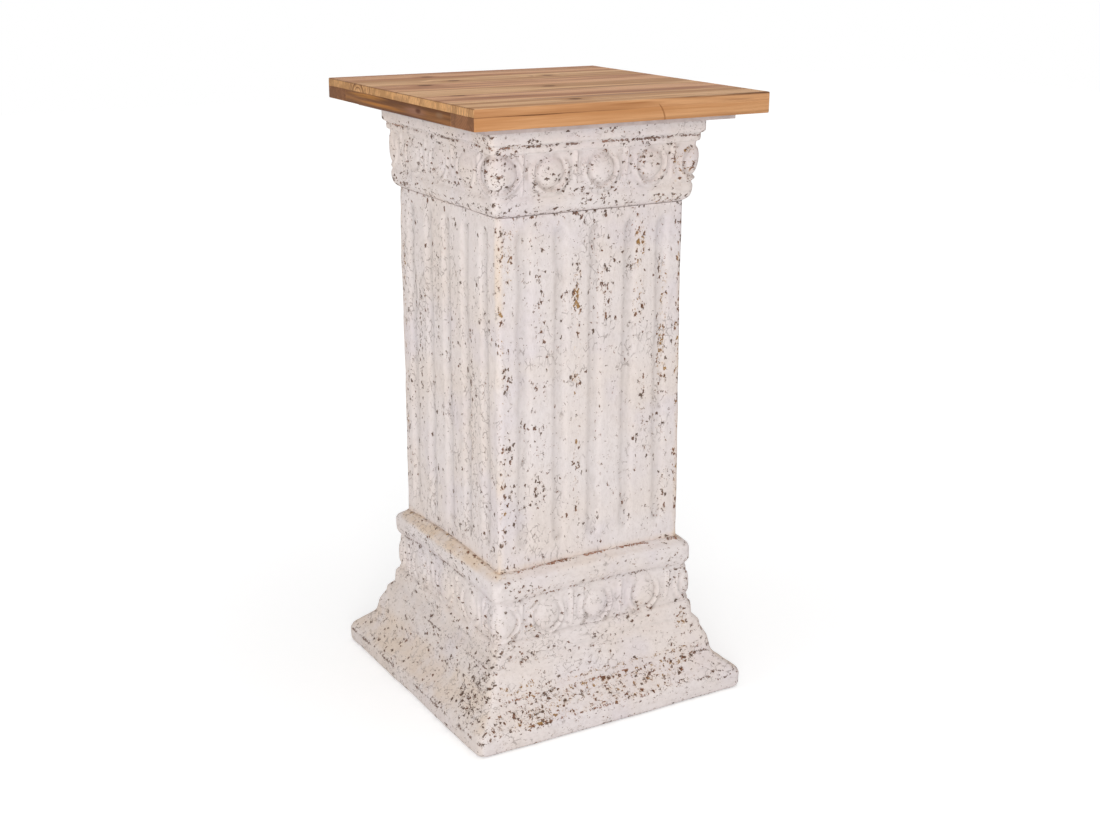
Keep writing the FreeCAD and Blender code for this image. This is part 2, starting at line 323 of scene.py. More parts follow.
class Effects:
    """The node groups that the finishes share, each built once."""

    def __init__(self) -> None:
        """Builds every group."""
        self.chips = self._chips()
        self.crackle = self._crackle()
        self.rings = self._rings()
        self.knot = self._knot()
        self.streak = self._streak()
        self.split_line = self._split_line()

    def _chips(self) -> bpy.types.NodeTree:
        """Small ragged chips scattered through space, as thick as a density asks.

        Returns:
            The group, with Mask, Core, the deep middle, Halo round it and Pick, each chip's random number.
        """
        tree = GroupTree("chips", "Vector", "Cell Density Size", "Mask Core Halo Pick")
        vector, cell, density, size = tree.given
        inputs = {"Vector": tree.vector("SCALE", vector, scale=1.0 / cell), "Scale": 1.0}
        cells = tree.node("TexVoronoi", inputs, voronoi_dimensions="3D", feature="F1").outputs
        present, radius, pick = tree.split(cells["Color"])
        present = tree.math("LESS_THAN", present, density)
        inside = radius.ramp(0.0, 1.0, 0.14, 0.46) * size - cells["Distance"]
        ends = {"Mask": (0.0, 0.06), "Core": (0.05, 0.16), "Halo": (-0.3, 0.05)}
        return tree.finish(Pick=pick, **{name: inside.ramp(*span) * present for name, span in ends.items()})

    def _crackle(self) -> bpy.types.NodeTree:
        """Fine broken hairlines, as in a dried skin of paint.

        Returns:
            The group, with Lines.
        """
        tree = GroupTree("crackle", "Vector", "Cell Width Amount", "Lines")
        vector, cell, width, amount = tree.given
        scaled = tree.vector("SCALE", vector, scale=1.0 / cell)
        inputs = {"Vector": tree.warp(scaled, 1.1, 0.36, 4.0), "Scale": 1.0}
        edge = tree.add("TexVoronoi", inputs, "Distance", voronoi_dimensions="3D", feature="DISTANCE_TO_EDGE")
        line = edge.ramp(width * 0.3, width, 1.0, 0.0)
        gate = 0.72 - amount * 0.4
        wide = tree.noise(scaled, 0.3).ramp(gate, gate + 0.1)
        broken = tree.noise(scaled, 1.1, 1.0).ramp(0.44, 0.56)
        return tree.finish(Lines=line * wide * broken)

    def _rings(self) -> bpy.types.NodeTree:
        """Growth rings round a slightly leaning pith that runs along X.

        Returns:
            The group, with Late, the dark late wood, Fibre, the fine grain, and Band, the broad one.
        """
        tree = GroupTree("growth rings", "Vector Pith Lean", "Spacing Wander Swirl", "Late Fibre Band")
        vector, pith, lean, spacing, wander, swirl = tree.given
        leaning = tree.vector("SCALE", lean, scale=tree.split(vector)[0])
        leaned = tree.vector("ADD", tree.vector("SUBTRACT", vector, pith), leaning)
        drift = tree.drift(tree.place(vector, (5.0, 26.0, 26.0)), 1.0, 2.5)
        moved = tree.vector("SCALE", drift, scale=wander)
        _, y, z = tree.split(tree.vector("ADD", leaned, moved))
        reach = tree.vector("LENGTH", tree.join(0.0, y, z))
        saw = tree.math("FRACT", (reach + swirl) / spacing + tree.noise(reach, 95.0, 1.0) * 1.6)
        narrow = tree.noise(tree.place(vector, (5.0, 130.0, 130.0)), 1.0, 3.0, 0.6)
        broad = tree.noise(tree.place(vector, (2.6, 46.0, 46.0)), 1.0)
        return tree.finish(
            Late=saw.ramp(0.25, 0.84) * saw.ramp(0.88, 1.0, 1.0, 0.0),
            Fibre=tree.noise(tree.place(vector, (16.0, 620.0, 620.0)), 1.0, 4.0, 0.65),
            Band=narrow * 0.5 + broad * 0.5,
        )

    def _knot(self) -> bpy.types.NodeTree:
        """A knot: a dark oval eye with rings that swirl round it.

        Returns:
            The group, with Eye, Halo and Swirl in metres.
        """
        tree = GroupTree("knot", "Vector Centre", "Size", "Eye Halo Swirl")
        vector, centre, size = tree.given
        offset = tree.vector("SUBTRACT", tree.warp(vector, 260.0, 0.0011), centre)
        far = tree.vector("LENGTH", tree.place(offset, (0.62, 1.0, 0.5))) / size
        swirl = far.ramp(0.6, 4.5, 1.0, 0.0) * size * 1.4
        return tree.finish(Eye=far.ramp(0.55, 1.0, 1.0, 0.0), Halo=far.ramp(0.8, 2.8, 1.0, 0.0), Swirl=swirl)

    def _streak(self) -> bpy.types.NodeTree:
        """A long stain that runs along the grain and fades at its ends.

        Returns:
            The group, with Mask.
        """
        tree = GroupTree("streak", "Vector Centre Reach", "", "Mask")
        vector, centre, reach = tree.given
        offset = tree.vector("SUBTRACT", tree.warp(vector, 14.0, 0.0012, 3.0), centre)
        body = tree.vector("LENGTH", tree.vector("DIVIDE", offset, reach)).ramp(0.25, 1.0, 1.0, 0.0)
        grain = tree.noise(tree.place(vector, (14.0, 420.0, 420.0)), 1.0)
        return tree.finish(Mask=body * grain.ramp(0.3, 0.66, 0.35, 1.0))

    def _split_line(self) -> bpy.types.NodeTree:
        """A thin curved crack across the grain of a side face.

        Returns:
            The group, with Mask.
        """
        tree = GroupTree("split", "Vector Centre", "Bend Width Height", "Mask")
        vector, centre, bend, width, height = tree.given
        x, _, z = tree.split(tree.vector("SUBTRACT", tree.warp(vector, 160.0, 0.0012), centre))
        thin = (abs(x + z * 0.45 - z * z * bend) / width).ramp(0.3, 1.0, 1.0, 0.0)
        return tree.finish(Mask=thin * (abs(z) / height).ramp(0.7, 1.0, 1.0, 0.0))


# ---------------------------------------------------------------- finishes


@dataclass(frozen=True)
class CastFinish:
    """Worn off-white over a brown mineral body, pitted and crackled, with painted shade in its recesses."""

    name: str
    stretch: Point
    pale: Colour = (0.760, 0.694, 0.680)
    warm: Colour = (0.752, 0.668, 0.625)
    lilac: Colour = (0.705, 0.640, 0.662)
    peach: Colour = (0.700, 0.530, 0.370)
    # Grey-brown for the mottle, and for the dirt and painted shade in the hollows.
    grime_and_shade: Colour = (0.400, 0.325, 0.285)
    hairline: Colour = (0.270, 0.215, 0.190)
    umber: Colour = (0.095, 0.058, 0.042)
    clay: Colour = (0.290, 0.195, 0.140)
    rust: Colour = (0.330, 0.125, 0.055)
    ochre: Colour = (0.500, 0.270, 0.085)
    # Grey tint multiplied in as painted shade in the flutes, hollows and under the top, with some dust.
    dust_and_shade_tint: Colour = (0.840, 0.850, 0.860)
    crackle_cell: float = 0.0062
    crackle_width: float = 0.062
    speck_cell: float = 0.0018
    chip_cell: float = 0.0037
    gouge_cell: float = 0.0064
    relief: float = 0.0010

    def chip_colour(self, tree: ShaderTree, chips: dict[str, Wire], redness: Wire) -> Wire:
        """Colours each chip: a dark core in a clay, rust or ochre rim.

        Args:
            tree: The material's tree.
            chips: The chip group's outputs.
            redness: How rusty the place is.

        Returns:
            The chips' colour.
        """
        pick = chips["Pick"] * 0.6 + redness * 0.5
        rim = tree.mix(pick.ramp(0.42, 0.56), self.clay, self.rust)
        rim = tree.mix(pick.ramp(0.80, 0.92), rim, self.ochre)
        return tree.mix(chips["Core"] * pick.ramp(0.58, 1.0, 0.88, 0.3), rim, self.umber)

    def material(self, effects: Effects) -> bpy.types.Material:
        """Builds the finish from the shared node groups and the casting's own masks.

        Args:
            effects: The shared node groups.

        Returns:
            The material.
        """
        tree = MaterialTree(self.name)
        place = tree.here()
        drawn = tree.place(place, self.stretch)
        stain, worn, hollow, seam, dust_and_shade = map(tree.attribute, ("stain", "worn", "hollow", "seam", "dust_and_shade"))
        density, redness, crazed = map(tree.attribute, ("pitted", "rusty", "crazed"))

        cloud = tree.noise(place, 9.0, 3.0)
        cool = tree.noise(tree.place(place, shift=(3.0, 1.0, 2.0)), 15.0)
        mottle = tree.noise(drawn, 190.0, 4.0, 0.7)
        tide = stain * tree.noise(place, 46.0, 3.0).ramp(0.25, 0.62, 0.3, 1.0)
        # Grey-brown dirt in the hollows, partly painted shade there.
        dirt_and_shade = hollow * tree.noise(place, 90.0, 3.0).ramp(0.36, 0.64, 0.05, 0.5)
        sizes = {"Cell": self.crackle_cell, "Width": self.crackle_width, "Amount": crazed}
        lines = tree.group(effects.crackle, Vector=drawn, **sizes)["Lines"]
        colour = tree.coat(
            self.pale,
            (cloud.ramp(0.35, 0.68), self.warm),
            (cool.ramp(0.48, 0.7, 0.0, 0.6), self.lilac),
            (mottle.ramp(0.42, 0.8, 0.0, 0.3), self.grime_and_shade),
            (tide, self.peach),
            (dirt_and_shade, self.grime_and_shade),
            (lines * 0.55, self.hairline),
        )

        ragged = tree.warp(drawn, 430.0, 0.0034, 3.0)
        thick = (density + worn * 0.7) * tree.noise(ragged, 175.0).ramp(0.42, 0.60, 0.22, 1.9)
        pits = (
            (self.speck_cell, thick * 0.4 + 0.06, 1.1),
            (self.chip_cell, thick, 1.15),
            (self.gouge_cell, thick.ramp(0.45, 1.2, 0.0, 0.85), 0.95),
        )
        specks, chips, gouges = (
            tree.group(effects.chips, Vector=ragged, Cell=cell, Density=amount, Size=size)
            for cell, amount, size in pits
        )
        colour = tree.mix(chips["Halo"] * redness * 0.5, colour, self.peach)
        for sunk, share in ((specks, 0.75), (chips, 0.95), (gouges, 0.95)):
            colour = tree.mix(sunk["Mask"] * share, colour, self.chip_colour(tree, sunk, redness))

        flaking = tree.noise(place, 420.0, 3.0, 0.6).ramp(0.36, 0.62, 0.40, 1.0)
        cleft = (seam - flaking).ramp(-0.03, 0.12)
        cleft_colour = tree.mix(redness.ramp(0.25, 0.7, 0.25, 1.0), self.umber, self.rust)
        colour = tree.mix(cleft * 0.85, colour, cleft_colour)
        # Painted shade, partly dust: a grey tint that darkens the flutes, the hollows and the abacus under
        # the top.
        colour = tree.mix(dust_and_shade * 0.5, colour, self.dust_and_shade_tint, "MULTIPLY")

        grain = tree.noise(place, 700.0, 3.0, 0.7)
        height = grain * 0.14 + tree.noise(drawn, 95.0, 4.0, 0.6) * 0.9
        holes = tree.math("MAXIMUM", chips["Mask"], gouges["Mask"])
        cuts = ((chips["Core"], 0.5), (gouges["Core"], 0.8), (holes, 0.4), (lines, 0.25), (cleft, 0.6))
        for sunk, depth in cuts:
            height = height - sunk * depth
        tree.bump(self.relief, height)
        tree.dress(Base_Color=colour, Roughness=grain.ramp(0.2, 0.8, 0.74, 0.92), Specular_IOR_Level=0.25)
        return tree.material


@dataclass(frozen=True)
class Knot:
    """Where a knot's eye is, in metres, and its radius."""

    centre: Point
    size: float


@dataclass(frozen=True)
class Streak:
    """A stain along the grain: its middle, its reach each way, its strength and its colour."""

    centre: Point
    reach: Point
    depth: float
    tone: Colour = (0.190, 0.090, 0.045)


@dataclass(frozen=True)
class Split:
    """A thin crack across the grain: its middle, bend, half width, half height and colour."""

    centre: Point
    bend: float = -30.0
    half_width: float = 0.0014
    half_height: float = 0.0095
    tone: Colour = (0.290, 0.115, 0.045)


@dataclass(frozen=True)
class FirFinish:
    """Oiled fir: growth rings that show as lines on the faces and as arcs on the ends.

    Places are given along the grain, across it and up. The pith's place and lean are given across and up.
    """

    name: str
    pith: tuple[float, float]
    lean: tuple[float, float]
    spacing: float
    wander: float = 0.004
    crosswise: bool = False
    end_contrast: float = 0.26
    seam_level: float | None = None
    light: Colour = (0.660, 0.415, 0.250)
    dark: Colour = (0.345, 0.170, 0.085)
    side_light: Colour = (0.640, 0.340, 0.165)
    side_dark: Colour = (0.430, 0.195, 0.080)
    end_light: Colour = (0.740, 0.415, 0.190)
    end_dark: Colour = (0.180, 0.080, 0.035)
    stain: Colour = (0.110, 0.052, 0.028)
    knots: tuple[Knot, ...] = ()
    streaks: tuple[Streak, ...] = ()
    splits: tuple[Split, ...] = ()
    relief: float = 0.00022

    def along_grain(self, tree: ShaderTree, vector: Wire) -> Wire:
        """Turns a vector so that its first part runs along the grain."""
        if not self.crosswise:
            return vector
        x, y, z = tree.split(vector)
        return tree.join(y, x, z)

    def seam_dirt(self, tree: ShaderTree, place: Wire) -> Wire:
        """Finds the eased seams between planks, and the dirty arris along their left ends.

        Args:
            tree: The material's tree.
            place: Object coordinates.

        Returns:
            The mask.
        """
        x, y, z = tree.split(place)
        sunk = z.ramp(self.seam_level - 0.0005, self.seam_level - 0.0001, 1.0, 0.0)
        outward = tree.math("MAXIMUM", abs(x), abs(y))
        seams = sunk * outward.ramp(0.1725, 0.1735, 1.0, 0.0)
        above = z.ramp(self.seam_level - 0.0013, self.seam_level - 0.0007)
        return tree.math("MAXIMUM", seams, above * x.ramp(-0.1744, -0.1738, 0.8, 0.0))

    def material(self, effects: Effects) -> bpy.types.Material:
        """Builds the finish.

        Args:
            effects: The shared node groups.

        Returns:
            The material.
        """
        tree = MaterialTree(self.name)
        straight = tree.here()
        place = self.along_grain(tree, straight)
        eye: Value = 0.0
        halo: Value = 0.0
        swirl: Value = 0.0
        for knot in self.knots:
            made = tree.group(effects.knot, Vector=place, Centre=knot.centre, Size=knot.size)
            eye = tree.math("MAXIMUM", eye, made["Eye"])
            halo = tree.math("MAXIMUM", halo, made["Halo"])
            swirl = made["Swirl"] + swirl
        sizes = {"Spacing": self.spacing, "Wander": self.wander, "Swirl": swirl}
        pith, lean = (0.0, *self.pith), (0.0, *self.lean)
        wood = tree.group(effects.rings, Vector=place, Pith=pith, Lean=lean, **sizes)
        late, fibre = wood["Late"], wood["Fibre"]

        along, _, up = tree.split(self.along_grain(tree, tree.add("NewGeometry", {}, "Normal")))
        end = abs(along).ramp(0.6, 0.85)
        upward = up.ramp(0.35, 0.8)
        light = tree.mix(end, tree.mix(upward, self.side_light, self.light), self.end_light)
        dark = tree.mix(end, tree.mix(upward, self.side_dark, self.dark), self.end_dark)
        sideways = 1.0 - tree.math("MAXIMUM", end, upward)
        rings = late * end.ramp(0.0, 1.0, 0.62, self.end_contrast) * sideways.ramp(0.0, 1.0, 1.0, 0.5)
        plainer = end.ramp(0.0, 1.0, 1.0, 0.45)
        bands = wood["Band"].ramp(0.44, 0.57, 0.0, 0.85) * plainer
        fibres = fibre.ramp(0.40, 0.78, 0.0, 0.5) * plainer
        colour = tree.coat(light, (rings, dark), (bands, dark), (fibres, dark), (halo * 0.7, dark))
        for streak in self.streaks:
            made = tree.group(effects.streak, Vector=place, Centre=streak.centre, Reach=streak.reach)
            colour = tree.mix(made["Mask"] * streak.depth, colour, streak.tone)
        for split in self.splits:
            sizes = {"Bend": split.bend, "Width": split.half_width, "Height": split.half_height}
            made = tree.group(effects.split_line, Vector=place, Centre=split.centre, **sizes)
            colour = tree.mix(made["Mask"] * 0.75, colour, split.tone)
        if self.seam_level is not None:
            colour = tree.mix(self.seam_dirt(tree, straight) * 0.65, colour, self.stain)
        colour = tree.mix(eye * 0.85, colour, self.stain)

        tree.bump(self.relief, late * 0.5 + fibre * 0.7)
        tree.dress(Base_Color=colour, Roughness=0.62 - late * 0.1 + fibre * 0.14, Specular_IOR_Level=0.05)
        return tree.material


@dataclass(frozen=True)
class PlainFinish:
    """A quiet finish for what hardly shows: painted board, sawn timber or plated steel."""

    name: str
    base: Colour
    deep: Colour
    grain: Point
    rough: tuple[float, float]
    relief: float
    speck_share: float = 0.6
    metal: float = 0.0

    def material(self, effects: Effects) -> bpy.types.Material:
        """Builds the finish.

        Args:
            effects: The shared node groups.

        Returns:
            The material.
        """
        tree = MaterialTree(self.name)
        place = tree.here()
        streaks = tree.noise(tree.place(place, self.grain), 1.0, 4.0, 0.6)
        specks = tree.group(effects.chips, Vector=place, Cell=0.006, Density=0.05, Size=0.8)
        cloud = tree.noise(place, 30.0, 3.0)
        masks = (streaks.ramp(0.3, 0.75), cloud.ramp(0.45, 0.8, 0.0, 0.4), specks["Mask"] * self.speck_share)
        colour = tree.coat(self.base, *((mask, self.deep) for mask in masks))
        tree.bump(self.relief, streaks - specks["Core"])
        tree.dress(Base_Color=colour, Roughness=streaks.ramp(0.2, 0.8, *self.rough), Metallic=self.metal)
        return tree.material


# ---------------------------------------------------------------- worn castings


class SoftNoise:
    """Smooth seeded noise between -1 and 1, worked out for whole arrays of points."""

    SIZE = 32

    def __init__(self, seed: int) -> None:
        """Fills the lattice with random numbers of a seed."""
        self.lattice = np.random.default_rng(seed).uniform(-1.0, 1.0, (self.SIZE,) * 3)

    def __call__(self, points: Array, step: float) -> Array:
        """Samples the noise.

        Args:
            points: Points in metres, with x, y and z on the last axis.
            step: Distance between the noise's knots, in metres.

        Returns:
            One value for each point.
        """
        scaled = points / step + 100.0
        low = np.floor(scaled).astype(int)
        share = soft_step(scaled - low, 0.0, 1.0)
        total = np.zeros(points.shape[:-1])
        for corner in np.ndindex(2, 2, 2):
            weight = np.prod(np.where(corner, share, 1.0 - share), axis=-1)
            total += weight * self.lattice[tuple(np.moveaxis((low + corner) % self.SIZE, -1, 0))]
        return total


def soft_step(value: Array, low: float, high: float) -> Array:
    """Rises smoothly from 0 at one value to 1 at another."""
    share = np.clip((value - low) / (high - low), 0.0, 1.0)
    return share * share * (3.0 - 2.0 * share)


def turned(x: Array, y: Array, turn: Array) -> Array:
    """Turns points about the column's axis and stacks their x and y."""
    return np.stack([x * np.cos(turn) - y * np.sin(turn), x * np.sin(turn) + y * np.cos(turn)], axis=-1)


def beside(points: Array, stride: int) -> Array:
    """Adds up each point's two neighbours round the ring, whose last column repeats the first."""
    ring = points[:, :-1]
    both = np.roll(ring, stride, axis=1) + np.roll(ring, -stride, axis=1)
    return np.concatenate([both, both[:, :1]], axis=1)


@dataclass
class Grid:
    """A casting's points, in rows along its profile and columns round it.

    across is the distance along a side from its middle, sides holds the sides' numbers, and outer
    says which rows are on the outer skin.
    """

    points: Array
    normals: Array
    across: Array
    sides: Array
    outer: Array

    @property
    def level(self) -> Array:
        """Height above the floor."""
        return self.points[..., 2]

    @property
    def flank(self) -> Array:
        """1 on the left and right sides and 0 on the front and back."""
        return soft_step(np.abs(self.normals[..., 0]), 0.4, 0.8)

    def held(self, start: int) -> Array:
        """The outer rows without the first few and the last, which keep their place."""
        free = self.outer.copy()
        free[:start] = False
        free[int(np.flatnonzero(self.outer)[-1])] = False
        return free[:, None, None]


@dataclass(frozen=True)
class PitRun:
    """A string or patch of chips on one side: its middle, its half sizes, how thick and how rusty."""

    side: Side
    across: float
    level: float
    half_width: float
    half_height: float
    density: float
    rust: float

    def share(self, grid: Grid, fine: Array) -> Array:
        """How far each point is in the run, with frayed edges. The far sides repeat the near ones."""
        match = grid.sides % 2 == self.side.value % 2
        wide = (grid.across - self.across + 0.0025 * fine) / self.half_width
        tall = (grid.level - self.level) / self.half_height
        return soft_step(1.0 - np.abs(wide), 0.0, 0.5) * soft_step(1.0 - np.abs(tall), 0.0, 0.25) * match


def pit_runs(front: Sequence[Step], left: Sequence[Step]) -> tuple[PitRun, ...]:
    """Lists the runs of chips on the front and the left side."""
    near = ((Side.FRONT, front), (Side.LEFT, left))
    return tuple(PitRun(side, *row) for side, rows in near for row in rows)


@dataclass(frozen=True)
class Sway:
    """How far one side of a casting stands out of true, by level: its axis, its direction and its shifts."""

    axis: int
    way: float
    levels: tuple[float, ...]
    shifts: tuple[float, ...]

    def move(self, points: Array) -> None:
        """Shifts the side's points outwards, and fades towards the casting's middle."""
        weight = soft_step(self.way * points[..., self.axis], 0.05, 0.112)
        points[..., self.axis] += self.way * weight * np.interp(points[..., 2], self.levels, self.shifts)


@dataclass(frozen=True)
class Seam:
    """A crease where the coat has broken in dashes: its level and how much shows on each pair of sides."""

    level: float
    front: float
    flank: float


@dataclass(frozen=True)
class Band:
    """One egg-and-dart band, in metres. The near corner's egg is bolder, and the left side more worn."""

    bottom: float
    top: float
    pitch: float
    egg_rise: float
    rim_rise: float
    left_wear: float
    egg_width: float = 0.0296
    egg_height: float = 0.0300
    rim_gap: float = 0.0026
    rim_width: float = 0.0048
    dart_width: float = 0.0090
    dart_start: float = 0.004
    bold_wider: float = 0.62
    bold_taller: float = 0.18
    bold_prouder: float = 0.3
    bold_lift: float = 0.0016

    def relief(self, across: Array, level: Array, sides: Array) -> Array:
        """Height of the ornament above the band.

        Args:
            across: Distance along the side from its middle.
            level: Height above the floor.
            sides: Side numbers.

        Returns:
            The relief in metres.
        """
        front, left, back = (sides == side.value for side in (Side.FRONT, Side.LEFT, Side.BACK))
        toward = np.where(front, -across, np.where(left, across, 0.0))
        bold = (toward > 1.5 * self.pitch) * 1.0
        worn = np.where(left, soft_step(across, 1.55 * self.pitch, 1.4 * self.pitch), 0.0)
        worn = np.where(back, soft_step(across, 1.4 * self.pitch, 1.55 * self.pitch), worn)
        wide = self.egg_width / 2 * (1.0 + self.bold_wider * bold)
        tall = self.egg_height / 2 * (1.0 + self.bold_taller * bold)
        centre = self.bottom + self.rim_width + self.rim_gap + self.egg_height / 2 + self.bold_lift * bold
        near = across - np.round(across / self.pitch) * self.pitch
        reach = np.hypot(near / wide, (level - centre) / tall)
        egg = self.egg_rise * (1.0 + self.bold_prouder * bold) * np.sqrt(np.clip(1.0 - reach**2, 0.0, 1.0))
        past = (reach - 1.0) * wide - self.rim_gap
        shoulder = soft_step(level, centre + tall * 0.95, centre + tall * 0.35)
        arch = np.clip(1.0 - (2.0 * past / self.rim_width - 1.0) ** 2, 0.0, 1.0)
        rim = self.rim_rise * arch**0.7 * shoulder
        between = np.abs(across - (np.floor(across / self.pitch) + 0.5) * self.pitch)
        height = (level - self.bottom - self.dart_start) / (self.top - self.bottom)
        blade = np.clip(height, 0.0, 1.0) * self.dart_width / 2
        dart = self.rim_rise * np.clip(1.0 - between / np.maximum(blade, 1e-5), 0.0, 1.0)
        inside = soft_step(level, self.bottom, self.bottom + 0.002)
        inside = inside * soft_step(level, self.top, self.top - 0.0025)
        return np.maximum(np.maximum(egg, rim), dart) * inside * (1.0 - self.left_wear * worn)


@dataclass
class Casting:
    """A casting swept round a square with rounded corners, with worn relief on its outer skin."""

    node: str
    name: str
    moulding: tuple[Step, ...]
    hollow: tuple[Step, ...]
    corner: float
    side_columns: int
    corner_columns: int
    seed: int
    wobble: float
    base_density: float
    crazing: float
    runs: tuple[PitRun, ...]
    sways: tuple[Sway, ...]
    seams: tuple[Seam, ...] = ()
    band: Band | None = None
    reach: float = 0.006

    def relief(self, across: Array, level: Array, sides: Array) -> Array:
        """Height of the ornament above the plain moulding."""
        return self.band.relief(across, level, sides)

    def settle(self, grid: Grid) -> None:
        """Bends the finished points to the real casting's crooked lines; none here."""

    def marks(self, grid: Grid) -> dict[str, Array]:
        """Extra amounts of stain and wear by place; none here."""
        return {}

    def profile(self) -> tuple[Array, Array, Array]:
        """Samples the closed profile.

        Returns:
            Half widths, levels and whether each sample is on the outer skin.
        """
        rows: list[tuple[float, float, bool]] = [(*self.moulding[0][:2], True)]
        for steps, outer in ((self.moulding[1:], True), (self.hollow, False)):
            for step in steps:
                half, level, pitch, sag = (*step, 0.0, 0.0)[:4]
                start_half, start_level, _ = rows[-1]
                run, climb = half - start_half, level - start_level
                length = math.hypot(run, climb)
                count = max(1, round(length / pitch)) if pitch else 1
                for i in range(1, count + 1):
                    share = i / count
                    swell = 4.0 * sag * share * (1.0 - share) / length
                    x = start_half + run * share + swell * climb
                    rows.append((x, start_level + climb * share - swell * run, outer))
        table = np.array(rows)
        return table[:, 0], table[:, 1], table[:, 2] > 0.5

    def ring(self) -> Grid:
        """Places every row of the profile round the square.

        Returns:
            The plain grid.
        """
        half, level, outer = self.profile()
        columns: list[tuple[int, float, float]] = []
        for side in range(4):
            columns += [(side, -1.0 + 2.0 * i / self.side_columns, 0.0) for i in range(self.side_columns)]
            for i in range(self.corner_columns):
                columns.append((side, 1.0, 0.5 * math.pi * i / self.corner_columns))
        columns.append((3, 1.0, 0.5 * math.pi))
        side, along, bend = (np.array(part) for part in zip(*columns))
        past = bend > math.pi / 4
        inner = half[:, None] - self.corner
        x = inner * along + self.corner * np.sin(bend)
        y = -inner - self.corner * np.cos(bend)
        across = np.where(past, y, x)
        turn = side * math.pi / 2
        height = np.broadcast_to(level[:, None, None], (*x.shape, 1))
        points = np.concatenate([turned(x, y, turn), height], axis=-1)
        out = np.concatenate([turned(np.sin(bend), -np.cos(bend), turn), np.zeros((len(side), 1))], axis=-1)
        sides = np.broadcast_to((side + past) % 4, across.shape)
        return Grid(points, np.broadcast_to(out, points.shape), across, sides, outer)

    def bulge(self, grid: Grid) -> Array:
        """How far each point stands out from its surroundings, as a share of their distance."""
        points = grid.points
        rows = np.linalg.norm(points - np.roll(points, 1, axis=0), axis=-1).mean(axis=1)
        steps = np.clip(np.rint(self.reach / np.maximum(rows, 1e-4)), 1, 6).astype(int)
        index = np.arange(len(rows))
        up, down = points[(index + steps) % len(rows)], points[(index - steps) % len(rows)]
        width = np.linalg.norm(points[:, 1] - points[:, 0], axis=-1).mean()
        around = up + down + beside(points, max(1, round(self.reach / width)))
        return np.sum((points - 0.25 * around) * grid.normals, axis=-1) / self.reach

    def masks(self, grid: Grid) -> dict[str, Array]:
        """Works out how pitted, rusty, worn, hollow, crazed and stained each point is, and how much painted
        shade and dust it takes.

        Args:
            grid: The finished grid.

        Returns:
            A grid of values for each mask.
        """
        bulge = self.bulge(grid)
        noise = SoftNoise(self.seed + 5)
        fine, broad = noise(grid.points, 0.009), noise(grid.points, 0.034)
        ragged = fine * 0.5 + broad * 0.5
        hollow = soft_step(-bulge, 0.09, 0.30)
        density = self.base_density * (0.25 + 2.2 * soft_step(ragged, 0.0, 0.5)) + 0.15 * hollow
        rusty = np.clip(0.22 + 0.4 * noise(grid.points, 0.05), 0.0, 1.0)
        for run in self.runs:
            near = run.share(grid, fine)
            density = np.maximum(density, run.density * near * (0.25 + 0.95 * soft_step(ragged, -0.35, 0.25)))
            rusty = np.maximum(rusty, run.rust * near)
        made = {
            "pitted": density,
            "rusty": rusty,
            "worn": soft_step(bulge, 0.10, 0.40) * (0.2 + 0.8 * soft_step(ragged, -0.2, 0.3)),
            "hollow": hollow,
            "crazed": np.clip(self.crazing + 0.5 * noise(grid.points + 0.3, 0.06), 0.0, 1.0),
            "stain": np.zeros_like(bulge),
            # Painted shade in the concave places, with some dust.
            "dust_and_shade": 0.6 * soft_step(-bulge, 0.02, 0.2),
            "seam": self.dashes(grid, noise),
        }
        for key, extra in self.marks(grid).items():
            made[key] = np.clip(made[key] + extra, 0.0, 1.6 if key == "pitted" else 1.0)
        # The hollow's own skin is plain, with a few pits.
        skin = grid.outer[:, None]
        return {key: np.where(skin, values, 0.08 if key == "pitted" else 0.0) for key, values in made.items()}

    def dashes(self, grid: Grid, noise: SoftNoise) -> Array:
        """Marks the profile's rows where a crease has broken open.

        Args:
            grid: The finished grid.
            noise: The noise that breaks the line.

        Returns:
            The mask.
        """
        level = self.profile()[1]
        mask = np.zeros(grid.points.shape[:2])
        broken = 0.2 + 0.8 * soft_step(noise(grid.points + 0.7, 0.011), -0.35, 0.25)
        for seam in self.seams:
            row = int(np.argmin(np.abs(level - seam.level) + 10.0 * ~grid.outer))
            share = np.where(grid.sides[row] % 2 == 0, seam.front, seam.flank) * broken[row]
            for beside_it, strength in ((0, 1.0), (-1, 0.5), (1, 0.5)):
                mask[row + beside_it] = np.maximum(mask[row + beside_it], strength * share)
        return mask

    def shape(self) -> Grid:
        """Raises the relief on the plain ring, rubs it smooth and sets it crooked.

        Returns:
            The finished grid.
        """
        grid = self.ring()
        points = grid.points
        noise = SoftNoise(self.seed)
        lumps = noise(points, 0.045) * 0.6 + noise(points, 0.013) * 0.4
        drift = 0.0014 * noise(points + 0.5, 0.024)
        lift = self.relief(grid.across + drift, grid.level + drift[::-1] * 0.6, grid.sides)
        lift = lift + self.wobble * lumps
        points = points + grid.normals * lift[..., None] * grid.held(1)
        along = np.roll(points, -1, axis=0) + np.roll(points, 1, axis=0)
        eased = 0.4 * points + 0.2 * along + 0.1 * beside(points, 1)
        grid.points = np.where(grid.held(2), eased, points)
        self.settle(grid)
        for sway in self.sways:
            sway.move(grid.points)
        return grid

